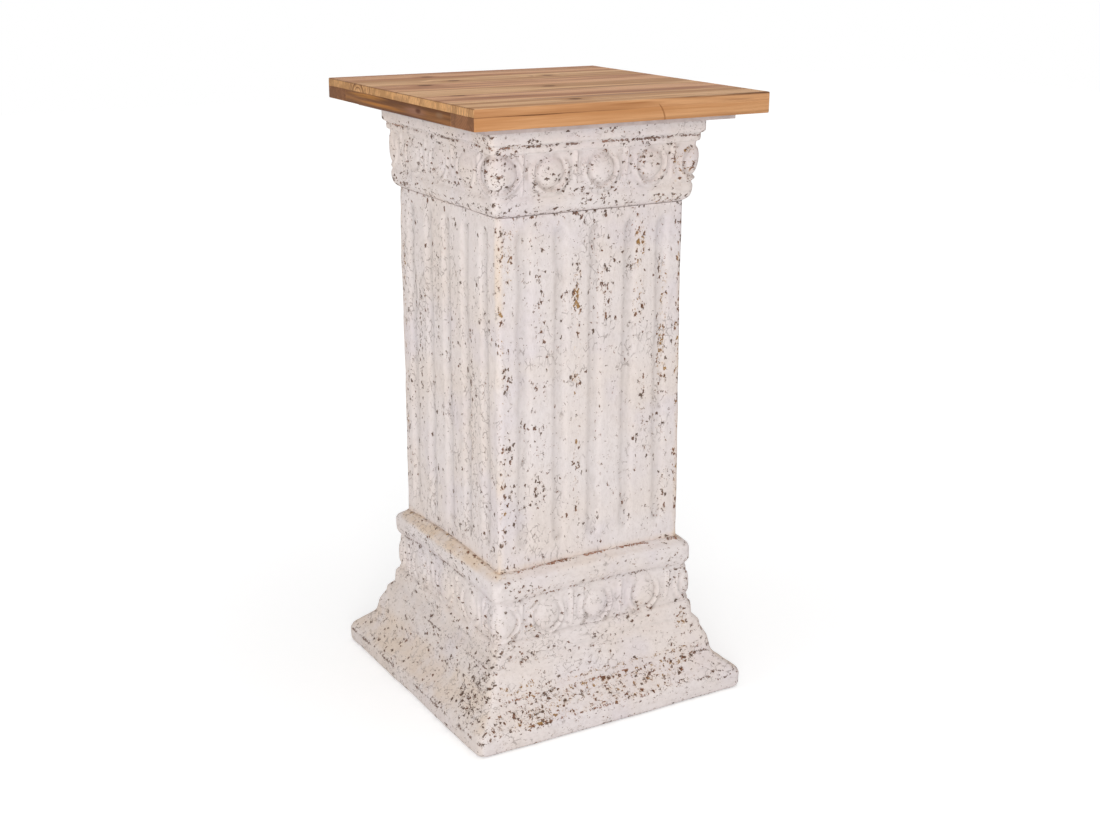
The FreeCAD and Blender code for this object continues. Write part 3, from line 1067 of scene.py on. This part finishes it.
    def build(self) -> bpy.types.Object:
        """Makes the casting as one closed mesh, which stands for its node.

        Returns:
            The new piece.
        """
        grid = self.shape()
        rows, columns = grid.points.shape[:2]
        shell = bmesh.new()
        bmesh.ops.create_grid(shell, x_segments=columns - 1, y_segments=rows - 1, size=1.0)
        mesh = bpy.data.meshes.new(self.name)
        shell.to_mesh(mesh)
        shell.free()
        flat = np.empty(len(mesh.vertices) * 3)
        mesh.vertices.foreach_get("co", flat)
        j, i = (
            np.rint((flat[axis::3] + 1.0) / 2.0 * (count - 1)).astype(int)
            for axis, count in ((0, columns), (1, rows))
        )
        mesh.vertices.foreach_set("co", grid.points[i, j].ravel())
        for key, values in self.masks(grid).items():
            mesh.attributes.new(key, "FLOAT", "POINT").data.foreach_set("value", values[i, j])
        closed = bmesh.new()
        closed.from_mesh(mesh)
        merge(closed, mesh, 62.0)
        return stand_for(mesh, self.name, self.node, "cast_stone")


@dataclass
class BaseCasting(Casting):
    """Plinth, flared foot, egg-and-dart band, ledge and weathered top."""

    node: str = "base_casting"
    name: str = "base_body"
    moulding: tuple[Step, ...] = (
        (0.1525, 0.0), (0.1716, 0.0, 0.006), (0.1738, 0.005, COARSE), (0.1742, 0.0185, COARSE),
        (0.172, 0.024, COARSE), (0.152, 0.0425, COARSE), (0.1488, 0.047, COARSE), (0.1462, 0.061, COARSE),
        (0.1402, 0.0735, FINE), (0.1396, 0.0795, FINE), (0.1326, 0.087, FINE), (0.132, 0.101, FINE),
        (0.1302, 0.1035, FINE), (0.1268, 0.1055, FINE), (0.1264, 0.1465, FINE), (0.1252, 0.148, FINE),
        (0.1252, 0.15, FINE), (0.129, 0.156, COARSE), (0.1292, 0.17, COARSE), (0.1276, 0.1745, COARSE),
        (0.1166, 0.182, COARSE, -0.0008), (0.1, 0.182),
    )
    hollow: tuple[Step, ...] = (
        (0.1, 0.197), (0.088, 0.197), (0.088, 0.167), (0.101, 0.15), (0.107, 0.096), (0.128, 0.044),
        (0.1525, 0.018), (0.1525, 0.0),
    )
    corner: float = 0.009
    side_columns: int = 172
    corner_columns: int = 8
    seed: int = 11
    wobble: float = 0.0012
    base_density: float = 0.12
    crazing: float = 0.38
    runs: tuple[PitRun, ...] = pit_runs(
        front=(
            (-0.02, 0.0265, 0.16, 0.0040, 1.6, 0.85), (-0.01, 0.0355, 0.15, 0.0042, 1.5, 0.8),
            (0.02, 0.0440, 0.13, 0.0044, 1.6, 0.9), (0.03, 0.0550, 0.12, 0.0030, 0.9, 0.9),
            (-0.11, 0.055, 0.035, 0.011, 0.6, 1.0), (-0.13, 0.030, 0.05, 0.012, 1.2, 0.5),
            (0.112, 0.088, 0.012, 0.014, 0.5, 0.9), (-0.09, 0.130, 0.02, 0.02, 0.5, 0.7),
            (-0.04, 0.160, 0.09, 0.008, 0.3, 0.5), (-0.04, 0.088, 0.10, 0.008, 0.4, 0.3),
        ),
        left=(
            (0.115, 0.052, 0.035, 0.026, 0.8, 0.05), (0.02, 0.062, 0.15, 0.012, 0.3, 0.05),
            (0.0, 0.022, 0.16, 0.004, 0.5, 0.3), (0.0, 0.098, 0.13, 0.006, 0.4, 0.1),
            (0.0, 0.125, 0.12, 0.014, 0.25, 0.1),
        ),
    )
    sways: tuple[Sway, ...] = (
        Sway(
            0, -1.0, (0.02, 0.05, 0.1, 0.14, 0.17, 0.19),
            (-0.0002, 0.0004, -0.0014, -0.0006, 0.0012, 0.0022),
        ),
        Sway(0, 1.0, (0.022, 0.030, 0.040, 0.048), (0.0, -0.0024, -0.0034, -0.0004)),
    )
    seams: tuple[Seam, ...] = (
        Seam(0.1806, 1.0, 0.5), Seam(0.1500, 0.75, 0.85), Seam(0.1055, 0.6, 0.6), Seam(0.0795, 0.5, 0.8),
        Seam(0.0470, 0.7, 0.5), Seam(0.0240, 0.7, 0.5), Seam(0.0185, 0.5, 0.95),
    )
    band: Band = Band(0.104, 0.147, 0.064, 0.0040, 0.0032, left_wear=0.3)
    bow_left: float = 0.0085
    bow_rest: float = 0.0052

    def settle(self, grid: Grid) -> None:
        """Bows the ledge up in the middle of each side, most on the left."""
        outward = np.abs(grid.points[..., :2]).max(axis=-1)
        bow = np.clip(1.0 - (grid.across / 0.122) ** 2, 0.0, 1.0) * soft_step(grid.level, 0.108, 0.160)
        rise = np.where(grid.points[..., 0] < -0.11, self.bow_left, self.bow_rest)
        grid.points[..., 2] += rise * bow * soft_step(outward, 0.110, 0.1155) * grid.outer[:, None]

    def marks(self, grid: Grid) -> dict[str, Array]:
        """Peach stain on the ledge and low slope, and thick chips on the slope.

        Args:
            grid: The finished grid.

        Returns:
            Amounts of stain, pitting, grey darkening low on the flanks, rust and crazing.
        """
        level, flank = grid.level, grid.flank
        joint = soft_step(level, 0.1745, 0.1810)
        slope = soft_step(level, 0.020, 0.028) * soft_step(level, 0.066, 0.050)
        corner = soft_step(np.abs(grid.across), 0.085, 0.125)
        foot = soft_step(level, 0.150, 0.100) * flank
        return {
            "stain": joint * (0.15 + 0.55 * flank) + slope * (0.10 + 0.16 * flank) + 0.20 * foot,
            "pitted": slope * (0.10 + 0.10 * corner) + 0.04 * flank,
            # Greyer and darker on the flanks below the egg band.
            "dust_and_shade": 0.7 * soft_step(level, 0.105, 0.090) * flank,
            "rusty": joint * 0.6,
            "crazed": 0.3 * flank,
        }


@dataclass
class ShaftCasting(Casting):
    """Square shaft with a row of stopped flutes on each face."""

    node: str = "shaft_casting"
    name: str = "shaft_body"
    moulding: tuple[Step, ...] = (
        (0.101, 0.182), (0.1152, 0.182), (0.116, 0.1825), (0.116, 0.5715, 0.0022), (0.1159, 0.572),
        (0.101, 0.572),
    )
    hollow: tuple[Step, ...] = ((0.101, 0.182),)
    corner: float = 0.006
    side_columns: int = 112
    corner_columns: int = 7
    seed: int = 23
    wobble: float = 0.0010
    base_density: float = 0.11
    crazing: float = 0.34
    runs: tuple[PitRun, ...] = pit_runs(
        front=(
            (-0.112, 0.38, 0.006, 0.19, 0.7, 0.8), (-0.103, 0.53, 0.006, 0.035, 0.8, 0.85),
            (-0.102, 0.32, 0.004, 0.10, 0.6, 0.5), (-0.066, 0.49, 0.009, 0.065, 0.42, 0.4),
            (-0.067, 0.30, 0.009, 0.055, 0.45, 0.2), (-0.023, 0.44, 0.007, 0.085, 0.85, 0.95),
            (-0.021, 0.29, 0.005, 0.07, 0.62, 0.7), (0.012, 0.48, 0.011, 0.035, 0.5, 0.5),
            (0.056, 0.50, 0.010, 0.065, 0.9, 0.9), (0.062, 0.36, 0.006, 0.03, 0.5, 0.5),
            (0.090, 0.44, 0.007, 0.08, 0.9, 1.0), (0.094, 0.27, 0.006, 0.07, 0.45, 0.5),
            (0.111, 0.38, 0.004, 0.18, 0.65, 0.9),
        ),
        left=(
            (-0.104, 0.40, 0.004, 0.15, 0.5, 0.8), (-0.066, 0.38, 0.004, 0.13, 0.34, 0.1),
            (-0.020, 0.46, 0.004, 0.06, 0.5, 0.1), (0.055, 0.36, 0.0036, 0.09, 0.95, 0.1),
            (0.017, 0.36, 0.004, 0.08, 0.4, 0.1),
        ),
    )
    sways: tuple[Sway, ...] = (
        Sway(0, 1.0, (0.182, 0.300, 0.500), (0.0008, -0.0010, -0.0045)),
        Sway(0, -1.0, (0.182, 0.350, 0.450, 0.540, 0.572), (0.0012, 0.0016, 0.0026, 0.0030, 0.0020)),
        Sway(1, 1.0, (0.182, 0.450, 0.540, 0.572), (0.0006, 0.0010, 0.0014, 0.0010)),
    )
    flute_pitch: float = 0.043
    flute_half: float = 0.0105
    flute_depth: float = 0.0032
    flute_bottom: float = 0.214
    flute_top: float = 0.550
    flutes_each_way: int = 2

    def flute(self, across: Array, level: Array) -> Array:
        """How deep in a flute each point is, from 0 on a ridge to 1 in a groove, with round ends."""
        number = np.clip(np.round(across / self.flute_pitch), -self.flutes_each_way, self.flutes_each_way)
        past = np.maximum(np.maximum(self.flute_bottom - level, level - self.flute_top), 0.0)
        return soft_step(np.hypot(across - number * self.flute_pitch, past) / self.flute_half, 1.0, 0.25)

    def relief(self, across: Array, level: Array, sides: Array) -> Array:
        """Depth of the flutes, below zero."""
        return -self.flute_depth * self.flute(across, level)

    def marks(self, grid: Grid) -> dict[str, Array]:
        """Ochre wear along the corners, crazing in the flutes and on the flanks, and painted shade in the
        flutes.

        Args:
            grid: The finished grid.

        Returns:
            Amounts of stain, wear, painted shade and crazing.
        """
        flute = self.flute(grid.across, grid.level)
        edge = soft_step(np.abs(grid.across), 0.107, 0.1135)
        edge = edge * soft_step(SoftNoise(self.seed + 9)(grid.points, 0.04), -0.3, 0.4)
        foot = soft_step(grid.level, 0.192, 0.184)
        return {
            "stain": 0.45 * edge + 0.35 * foot + 0.07 * grid.flank,
            "worn": 0.3 * edge,
            # Painted shade in the flutes, darkest where they are deepest.
            "dust_and_shade": 0.55 * flute,
            "crazed": 0.25 * flute + 0.22 * grid.flank,
        }


@dataclass
class CapitalCasting(Casting):
    """Bead, egg-and-dart band, fillet and abacus."""

    node: str = "capital_casting"
    name: str = "capital_body"
    moulding: tuple[Step, ...] = (
        (0.1, 0.572), (0.116, 0.572), (0.1168, 0.5724), (0.1222, 0.5785, FINE, 0.0008),
        (0.1236, 0.589, FINE, 0.0004), (0.1222, 0.593, FINE), (0.1226, 0.5945, FINE), (0.124, 0.636, FINE),
        (0.1268, 0.637, FINE), (0.1272, 0.642, FINE), (0.1264, 0.6432, FINE), (0.127, 0.645, FINE),
        (0.1298, 0.6462, FINE), (0.1306, 0.6485, FINE), (0.1306, 0.66, FINE), (0.13, 0.661),
        (0.1288, 0.661), (0.101, 0.661),
    )
    hollow: tuple[Step, ...] = (
        (0.101, 0.587), (0.088, 0.587), (0.088, 0.557), (0.1, 0.557), (0.1, 0.572),
    )
    corner: float = 0.008
    side_columns: int = 180
    corner_columns: int = 9
    seed: int = 37
    wobble: float = 0.0009
    base_density: float = 0.18
    crazing: float = 0.25
    runs: tuple[PitRun, ...] = pit_runs(
        front=(
            (0.085, 0.578, 0.028, 0.006, 0.85, 0.7), (0.03, 0.612, 0.05, 0.022, 0.36, 0.5),
            (0.105, 0.612, 0.018, 0.022, 0.55, 0.9), (-0.105, 0.640, 0.012, 0.008, 0.7, 0.4),
        ),
        left=((0.0, 0.612, 0.11, 0.02, 0.26, 0.2),),
    )
    sways: tuple[Sway, ...] = (
        Sway(0, 1.0, (0.572, 0.600, 0.640), (-0.0036, -0.0034, -0.0004)),
        Sway(0, -1.0, (0.572, 0.661), (0.0024, 0.0022)),
        Sway(1, 1.0, (0.572, 0.661), (0.0022, 0.0016)),
    )
    seams: tuple[Seam, ...] = (Seam(0.6432, 1.05, 0.95), Seam(0.5930, 0.5, 0.4))
    band: Band = Band(0.5935, 0.6365, 0.061, 0.0052, 0.0040, left_wear=0.6)

    def marks(self, grid: Grid) -> dict[str, Array]:
        """Chips on the lower bead and in the line under the abacus, and the top's shadow painted above it.

        Args:
            grid: The finished grid.

        Returns:
            Amounts of stain, pitting, rust and painted shade.
        """
        line = soft_step(np.abs(grid.level - 0.6435), 0.0035, 0.001)
        bead = soft_step(np.abs(grid.level - 0.577), 0.006, 0.002)
        return {
            "stain": 0.12 * grid.flank,
            "pitted": 0.25 * line + 0.3 * bead,
            "rusty": 0.22 * line,
            # Painted shadow of the wooden top on the upper abacus.
            "dust_and_shade": soft_step(grid.level, 0.649, 0.657),
        }


def merge(shell: bmesh.types.BMesh, mesh: bpy.types.Mesh, sharp: float) -> None:
    """Closes a shell into its mesh, with its faces outwards.

    Args:
        shell: The finished shell, which is freed.
        mesh: The mesh that it goes into.
        sharp: Angle in degrees past which an edge stays sharp.
    """
    bmesh.ops.remove_doubles(shell, verts=shell.verts, dist=SAME_POINT)
    bmesh.ops.recalc_face_normals(shell, faces=shell.faces)
    shell.to_mesh(mesh)
    shell.free()
    mesh.shade_smooth()
    mesh.set_sharp_from_angle(angle=math.radians(sharp))


def stand_for(mesh: bpy.types.Mesh, name: str, node: str, slot: str) -> bpy.types.Object:
    """Makes an object of a mesh, which rides on the body and stands for a node of the frame.

    Args:
        mesh: The finished mesh, in place.
        name: The piece's name.
        node: The node it replaces.
        slot: The record's material slot; not used.

    Returns:
        The new object.
    """
    piece = bpy.data.objects.new(name, mesh)
    bpy.context.scene.collection.objects.link(piece)
    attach(piece, BODY)
    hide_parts(node)
    LOG.info("%s: %d faces", name, len(mesh.polygons))
    return piece


# ---------------------------------------------------------------- plank top


@dataclass
class WoodenTop:
    """Six planks over a frame of edge strips."""

    planks: int = 6
    strips: tuple[str, ...] = ("front", "rear", "left", "right")
    outer_ease: float = 0.0013
    seam_ease: float = 0.0006
    shortest: float = 0.004
    sharp_turn: float = 1.0
    near: float = 1e-4
    flat: float = 1e-5

    def on_rim(self, edge: bmesh.types.BMEdge, level: float) -> bool:
        """Whether an edge runs round the outside of the top.

        Args:
            edge: The edge.
            level: The level of the outer edges that lie flat.

        Returns:
            True if it does.
        """
        a, b = (vert.co for vert in edge.verts)
        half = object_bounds()[1].x
        outer = [min(abs(a[k]), abs(b[k])) > half - self.near and a[k] * b[k] > 0 for k in (0, 1)]
        if abs(a.z - b.z) < self.flat:
            return abs(a.z - level) < self.near and any(outer)
        return all(outer)

    def board(self, node: str, name: str, slot: str, level: float) -> bpy.types.Object:
        """Makes one eased board in the place of its node.

        Args:
            node: The node it replaces.
            name: The new piece's name.
            slot: The record's material slot.
            level: The level of its outer edges.

        Returns:
            The new piece.
        """
        low, high = map(Vector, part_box(node))
        block = bmesh.new()
        bmesh.ops.create_cube(block, size=1.0)
        bmesh.ops.scale(block, vec=high - low, verts=block.verts)
        bmesh.ops.translate(block, vec=(low + high) / 2, verts=block.verts)
        for wanted, width, segments in ((True, self.outer_ease, 3), (False, self.seam_ease, 2)):
            edges = [edge for edge in block.edges if self.on_rim(edge, level) == wanted]
            edges = [edge for edge in edges if edge.calc_length() > self.shortest]
            sharp = [edge for edge in edges if edge.is_manifold and edge.calc_face_angle() > self.sharp_turn]
            bmesh.ops.bevel(
                block, geom=sharp, offset=width, offset_type="OFFSET", affect="EDGES", segments=segments,
                profile=0.5, material=-1,
            )
        mesh = bpy.data.meshes.new(name)
        merge(block, mesh, 35.0)
        return stand_for(mesh, name, node, slot)

    def build(self) -> list[bpy.types.Object]:
        """Makes the planks, from the front to the back, and the strips under them.

        Returns:
            The ten boards.
        """
        top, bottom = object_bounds()[1].z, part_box("front_edge_strip")[0][2]
        numbers = range(1, self.planks + 1)
        places = [(f"top_plank_{n}", f"plank_{n}", "fir_planks", top) for n in numbers]
        places += [(f"{side}_edge_strip", f"{side}_strip", "fir_edging", bottom) for side in self.strips]
        return [self.board(*place) for place in places]


# ---------------------------------------------------------------- studio


@dataclass
class Studio:
    """Camera, lamps, floor and backdrop."""

    position: Point = (-0.8657, -1.4910, 0.8572)
    yaw: float = -30.5155
    pitch: float = -17.3664
    roll: float = 0.3443
    lens: float = 51.21
    sensor: float = 36.0
    aim: Point = (0.0, 0.0, 0.35)
    room_light: float = 0.53
    floor_half: float = 6.0
    floor_grey: float = 0.82

    def stand(self, name: str, data: bpy.types.ID) -> bpy.types.Object:
        """Makes an object of its data and puts it in the scene."""
        made = bpy.data.objects.new(name, data)
        bpy.context.scene.collection.objects.link(made)
        return made

    def camera(self) -> None:
        """Sets up the camera from the photograph's perspective."""
        yaw, pitch, roll = (math.radians(value) for value in (self.yaw, self.pitch, self.roll))
        ahead = Vector((-math.sin(yaw) * math.cos(pitch), math.cos(yaw) * math.cos(pitch), math.sin(pitch)))
        right = Vector((math.cos(yaw), math.sin(yaw), 0.0))
        up = right.cross(ahead)
        across = right * math.cos(roll) + up * math.sin(roll)
        upright = up * math.cos(roll) - right * math.sin(roll)
        data = bpy.data.cameras.new("camera")
        data.sensor_width = self.sensor
        data.lens = self.lens
        camera = self.stand("camera", data)
        turned_to = Matrix((across, upright, -ahead)).transposed().to_4x4()
        camera.matrix_world = Matrix.Translation(self.position) @ turned_to
        bpy.context.scene.camera = camera

    def lamp(self, name: str, position: Point, size: float, power: float) -> None:
        """Adds one soft square lamp that faces the column.

        Args:
            name: Its name.
            position: Where it stands.
            size: Its side, in metres.
            power: Its power, in watts.
        """
        data = bpy.data.lights.new(name, "AREA")
        data.size = size
        data.energy = power
        lamp = self.stand(name, data)
        lamp.location = position
        lamp.rotation_euler = (Vector(position) - Vector(self.aim)).to_track_quat("Z", "Y").to_euler()

    def backdrop(self) -> None:
        """Gives the world its light, and white where the camera or a gloss sees past the object."""
        world = bpy.data.worlds.new("studio")
        world.use_nodes = True
        world.node_tree.nodes.clear()
        tree = ShaderTree(world.node_tree)
        white = (1.0, 1.0, 1.0)
        seen = tree.looked_at()
        powers = (self.room_light, 1.0)
        lit, plain = (tree.add("Background", {"Color": white, "Strength": power}) for power in powers)
        both = tree.add("MixShader", {0: seen, 1: lit, 2: plain})
        tree.node("OutputWorld", {"Surface": both})
        bpy.context.scene.world = world

    def floor(self) -> None:
        """Lays a plain pale floor that keeps a soft shadow, and glows to white away from it."""
        sheet = bmesh.new()
        bmesh.ops.create_grid(sheet, x_segments=1, y_segments=1, size=self.floor_half)
        mesh = bpy.data.meshes.new("floor")
        sheet.to_mesh(mesh)
        sheet.free()
        floor = self.stand("floor", mesh)
        tree = MaterialTree("floor_white")
        glow = tree.vector("LENGTH", tree.here()).ramp(0.3, 2.0, 0.36, 0.62)
        tree.dress(
            Base_Color=(self.floor_grey,) * 3, Roughness=0.9, Specular_IOR_Level=0.0,
            Emission_Color=(1.0, 1.0, 1.0), Emission_Strength=tree.looked_at() * glow,
        )
        mesh.materials.append(tree.material)
        floor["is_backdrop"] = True

    def build(self) -> None:
        """Sets up the whole studio."""
        self.camera()
        self.backdrop()
        self.floor()
        self.lamp("key", (-1.35, -2.4, 0.80), 1.1, 34.0)
        self.lamp("top", (0.3, -0.2, 2.6), 1.6, 14.0)
        self.lamp("fill", (-2.6, 0.2, 0.70), 1.6, 11.0)
        bpy.context.scene.view_settings.view_transform = "Standard"


# ---------------------------------------------------------------- the object


@dataclass
class Pedestal:
    """The whole stand: castings, wooden top and what hides between them."""

    effects: Effects
    top: float = 0.690
    rim: float = -0.175
    plum: Colour = (0.215, 0.105, 0.075)

    def stains(self, *rows: Step, down: float = 0.02) -> tuple[Streak, ...]:
        """Lists plum stains on the top, each by its place, its reach along and across, and its depth."""
        return tuple(
            Streak((x, y, self.top), (along, across, down), depth, self.plum)
            for x, y, along, across, depth in rows
        )

    def planks(self) -> tuple[FirFinish, ...]:
        """Lists the planks' wood, from the front to the back: where its pith lay, its knots and its stains.

        Returns:
            Six finishes.
        """
        top, rim = self.top, self.rim
        rosy = {"seam_level": top, "light": (0.745, 0.440, 0.265), "dark": (0.345, 0.165, 0.090)}
        sandy = {"seam_level": top, "light": (0.760, 0.490, 0.290), "dark": (0.380, 0.195, 0.095)}
        front_marks = (
            Streak((0.150, rim, top - 0.0002), (0.160, 0.0050, 0.0028), 1.0, (0.105, 0.042, 0.022)),
            Streak((0.004, rim, 0.6860), (0.042, 0.01, 0.0024), 0.8, (0.330, 0.135, 0.048)),
            Streak((0.135, rim, 0.6840), (0.03, 0.01, 0.0012), 0.5),
        )
        first = self.stains((-0.01, -0.1235, 0.15, 0.0065, 0.95)) + self.stains(
            (-0.03, -0.152, 0.09, 0.005, 0.5), down=0.01
        )
        return (
            FirFinish(
                "fir_plank_1", (-0.300, 0.650), (0.015, 0.03), 0.0034, end_contrast=0.5, **sandy,
                knots=(Knot((-0.044, -0.142, top), 0.0061),), streaks=first + front_marks,
                splits=(Split((0.041, rim, 0.6760)),),
            ),
            FirFinish(
                "fir_plank_2", (0.020, 0.630), (-0.02, 0.02), 0.0033, end_light=(0.700, 0.385, 0.170), **rosy,
                knots=(Knot((-0.133, -0.060, top), 0.0072),),
                streaks=self.stains(
                    (-0.10, -0.09, 0.09, 0.006, 0.75), (0.06, -0.104, 0.12, 0.0055, 0.6),
                    (-0.03, -0.063, 0.12, 0.005, 0.6),
                ),
            ),
            FirFinish(
                "fir_plank_3", (-0.160, 0.640), (0.03, -0.02), 0.0031, **sandy,
                knots=(Knot((-0.002, -0.019, top), 0.0061),),
                streaks=self.stains((0.05, -0.050, 0.13, 0.006, 0.7)),
            ),
            FirFinish(
                "fir_plank_4", (0.130, 0.645), (0.02, 0.025), 0.0029, end_light=(0.690, 0.380, 0.165), **rosy,
                knots=(Knot((-0.118, 0.045, top), 0.0070),),
                streaks=self.stains((-0.08, 0.012, 0.08, 0.004, 0.5)),
            ),
            FirFinish(
                "fir_plank_5", (0.0915, 0.6745), (0.012, 0.015), 0.0046, 0.002, end_contrast=0.85, **sandy,
                knots=(Knot((-0.067, 0.078, top), 0.0058), Knot((0.059, 0.088, top), 0.0052)),
                streaks=self.stains((0.08, 0.072, 0.1, 0.004, 0.45)),
            ),
            FirFinish(
                "fir_plank_6", (0.28, 0.66), (-0.015, 0.02), 0.0033, end_light=(0.650, 0.360, 0.160), **rosy,
                knots=(Knot((-0.074, 0.131, top), 0.0058),),
                streaks=self.stains((0.02, 0.152, 0.14, 0.006, 0.45)),
            ),
        )

    def strips(self) -> tuple[FirFinish, ...]:
        """Lists the wood of the front, rear, left and right strips.

        Returns:
            Four finishes.
        """
        rim = self.rim
        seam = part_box("front_edge_strip")[1][2] - 0.0003
        honey = {"side_light": (0.650, 0.345, 0.165), "side_dark": (0.490, 0.225, 0.090)}
        brown = {"end_light": (0.300, 0.140, 0.070), "end_dark": (0.090, 0.040, 0.022)}
        murky = {"side_light": (0.330, 0.150, 0.060), "side_dark": (0.115, 0.050, 0.026)}
        front_marks = (
            Streak((0.1, rim, 0.6702), (0.2, 0.02, 0.002), 0.3),
            Streak((-0.125, rim, seam), (0.165, 0.02, 0.0009), 1.0, (0.130, 0.055, 0.028)),
        )
        # On the left face: place along it, level, half length, half height, depth and colour.
        left_rows = (
            (-0.045, 0.6745, 0.036, 0.0080, 0.75, (0.300, 0.150, 0.100)),
            (-0.055, 0.6765, 0.009, 0.0042, 0.85, (0.090, 0.036, 0.022)),
            (-0.103, 0.6765, 0.012, 0.0045, 0.5, (0.250, 0.165, 0.105)),
            (0.068, 0.6790, 0.062, 0.0030, 0.9, (0.520, 0.230, 0.060)),
            (0.030, 0.6725, 0.070, 0.0022, 0.8, (0.470, 0.190, 0.045)),
            (0.050, 0.6752, 0.080, 0.0016, 0.8, (0.150, 0.060, 0.025)),
            (-0.020, 0.6690, 0.120, 0.0034, 0.7, (0.100, 0.045, 0.030)),
        )
        left_marks = tuple(
            Streak((along, rim, level), (length, 0.02, height), depth, tone)
            for along, level, length, height, depth, tone in left_rows
        )
        return (
            FirFinish(
                "fir_front_strip", (-0.120, 0.720), (0.02, -0.03), 0.0026, **honey, **brown,
                streaks=front_marks, splits=(Split((0.041, rim, 0.6760)),),
            ),
            FirFinish("fir_rear_strip", (0.120, 0.655), (0.02, 0.03), 0.0030, **honey, **brown),
            FirFinish(
                "fir_left_strip", (-0.140, 0.640), (0.03, 0.02), 0.0036, 0.008, crosswise=True, **murky,
                streaks=left_marks,
            ),
            FirFinish("fir_right_strip", (0.140, 0.640), (0.02, 0.01), 0.0030, crosswise=True),
        )

    def plain(self) -> dict[str, PlainFinish]:
        """Lists the finishes of the nodes that keep their own mesh, by slot.

        Returns:
            The board's pale paint darkened as painted shade, sawn timber and plated screws.
        """
        # The board's pale paint, darkened as painted shade under the wooden top.
        board_paint_and_shade = PlainFinish(
            "shaded_board_paint", (0.585, 0.525, 0.520), (0.450, 0.390, 0.385), (60.0,) * 3, (0.7, 0.9), 0.0003
        )
        sawn = PlainFinish(
            "sawn_timber", (0.56, 0.40, 0.25), (0.38, 0.24, 0.14), (12.0, 240.0, 240.0), (0.7, 0.95), 0.0004
        )
        zinc = PlainFinish(
            "zinc_screw", (0.62, 0.63, 0.65), (0.42, 0.42, 0.43), (400.0,) * 3, (0.3, 0.5), 0.0001, 0.2, 1.0
        )
        return {"backing_board": board_paint_and_shade, "plain_timber": sawn, "zinc_steel": zinc}

    def build(self, frame: dict) -> None:
        """Builds every piece and dresses it.

        Args:
            frame: The loaded frame.
        """
        upright = CastFinish("worn_shaft", (1.0, 1.0, 0.66)).material(self.effects)
        level = CastFinish("worn_moulding", (0.82, 0.82, 1.05)).material(self.effects)
        for casting, worn in ((BaseCasting(), level), (ShaftCasting(), upright), (CapitalCasting(), level)):
            casting.build().data.materials.append(worn)
        for board, fir in zip(WoodenTop().build(), self.planks() + self.strips()):
            board.data.materials.append(fir.material(self.effects))
        slots = {part["node"]: part["material_slot"] for part in frame["record"]["subparts"]}
        dressed = {slot: finish.material(self.effects) for slot, finish in self.plain().items()}
        for node, piece in frame["nodes"].items():
            if slots[node] in dressed:
                piece.data.materials.clear()
                piece.data.materials.append(dressed[slots[node]])


def main() -> None:
    """Builds the pedestal in its studio."""
    logging.basicConfig(level=logging.INFO, format="%(name)s: %(message)s")
    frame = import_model()
    Pedestal(Effects()).build(frame)
    Studio().build()


if __name__ == "__main__":
    main()
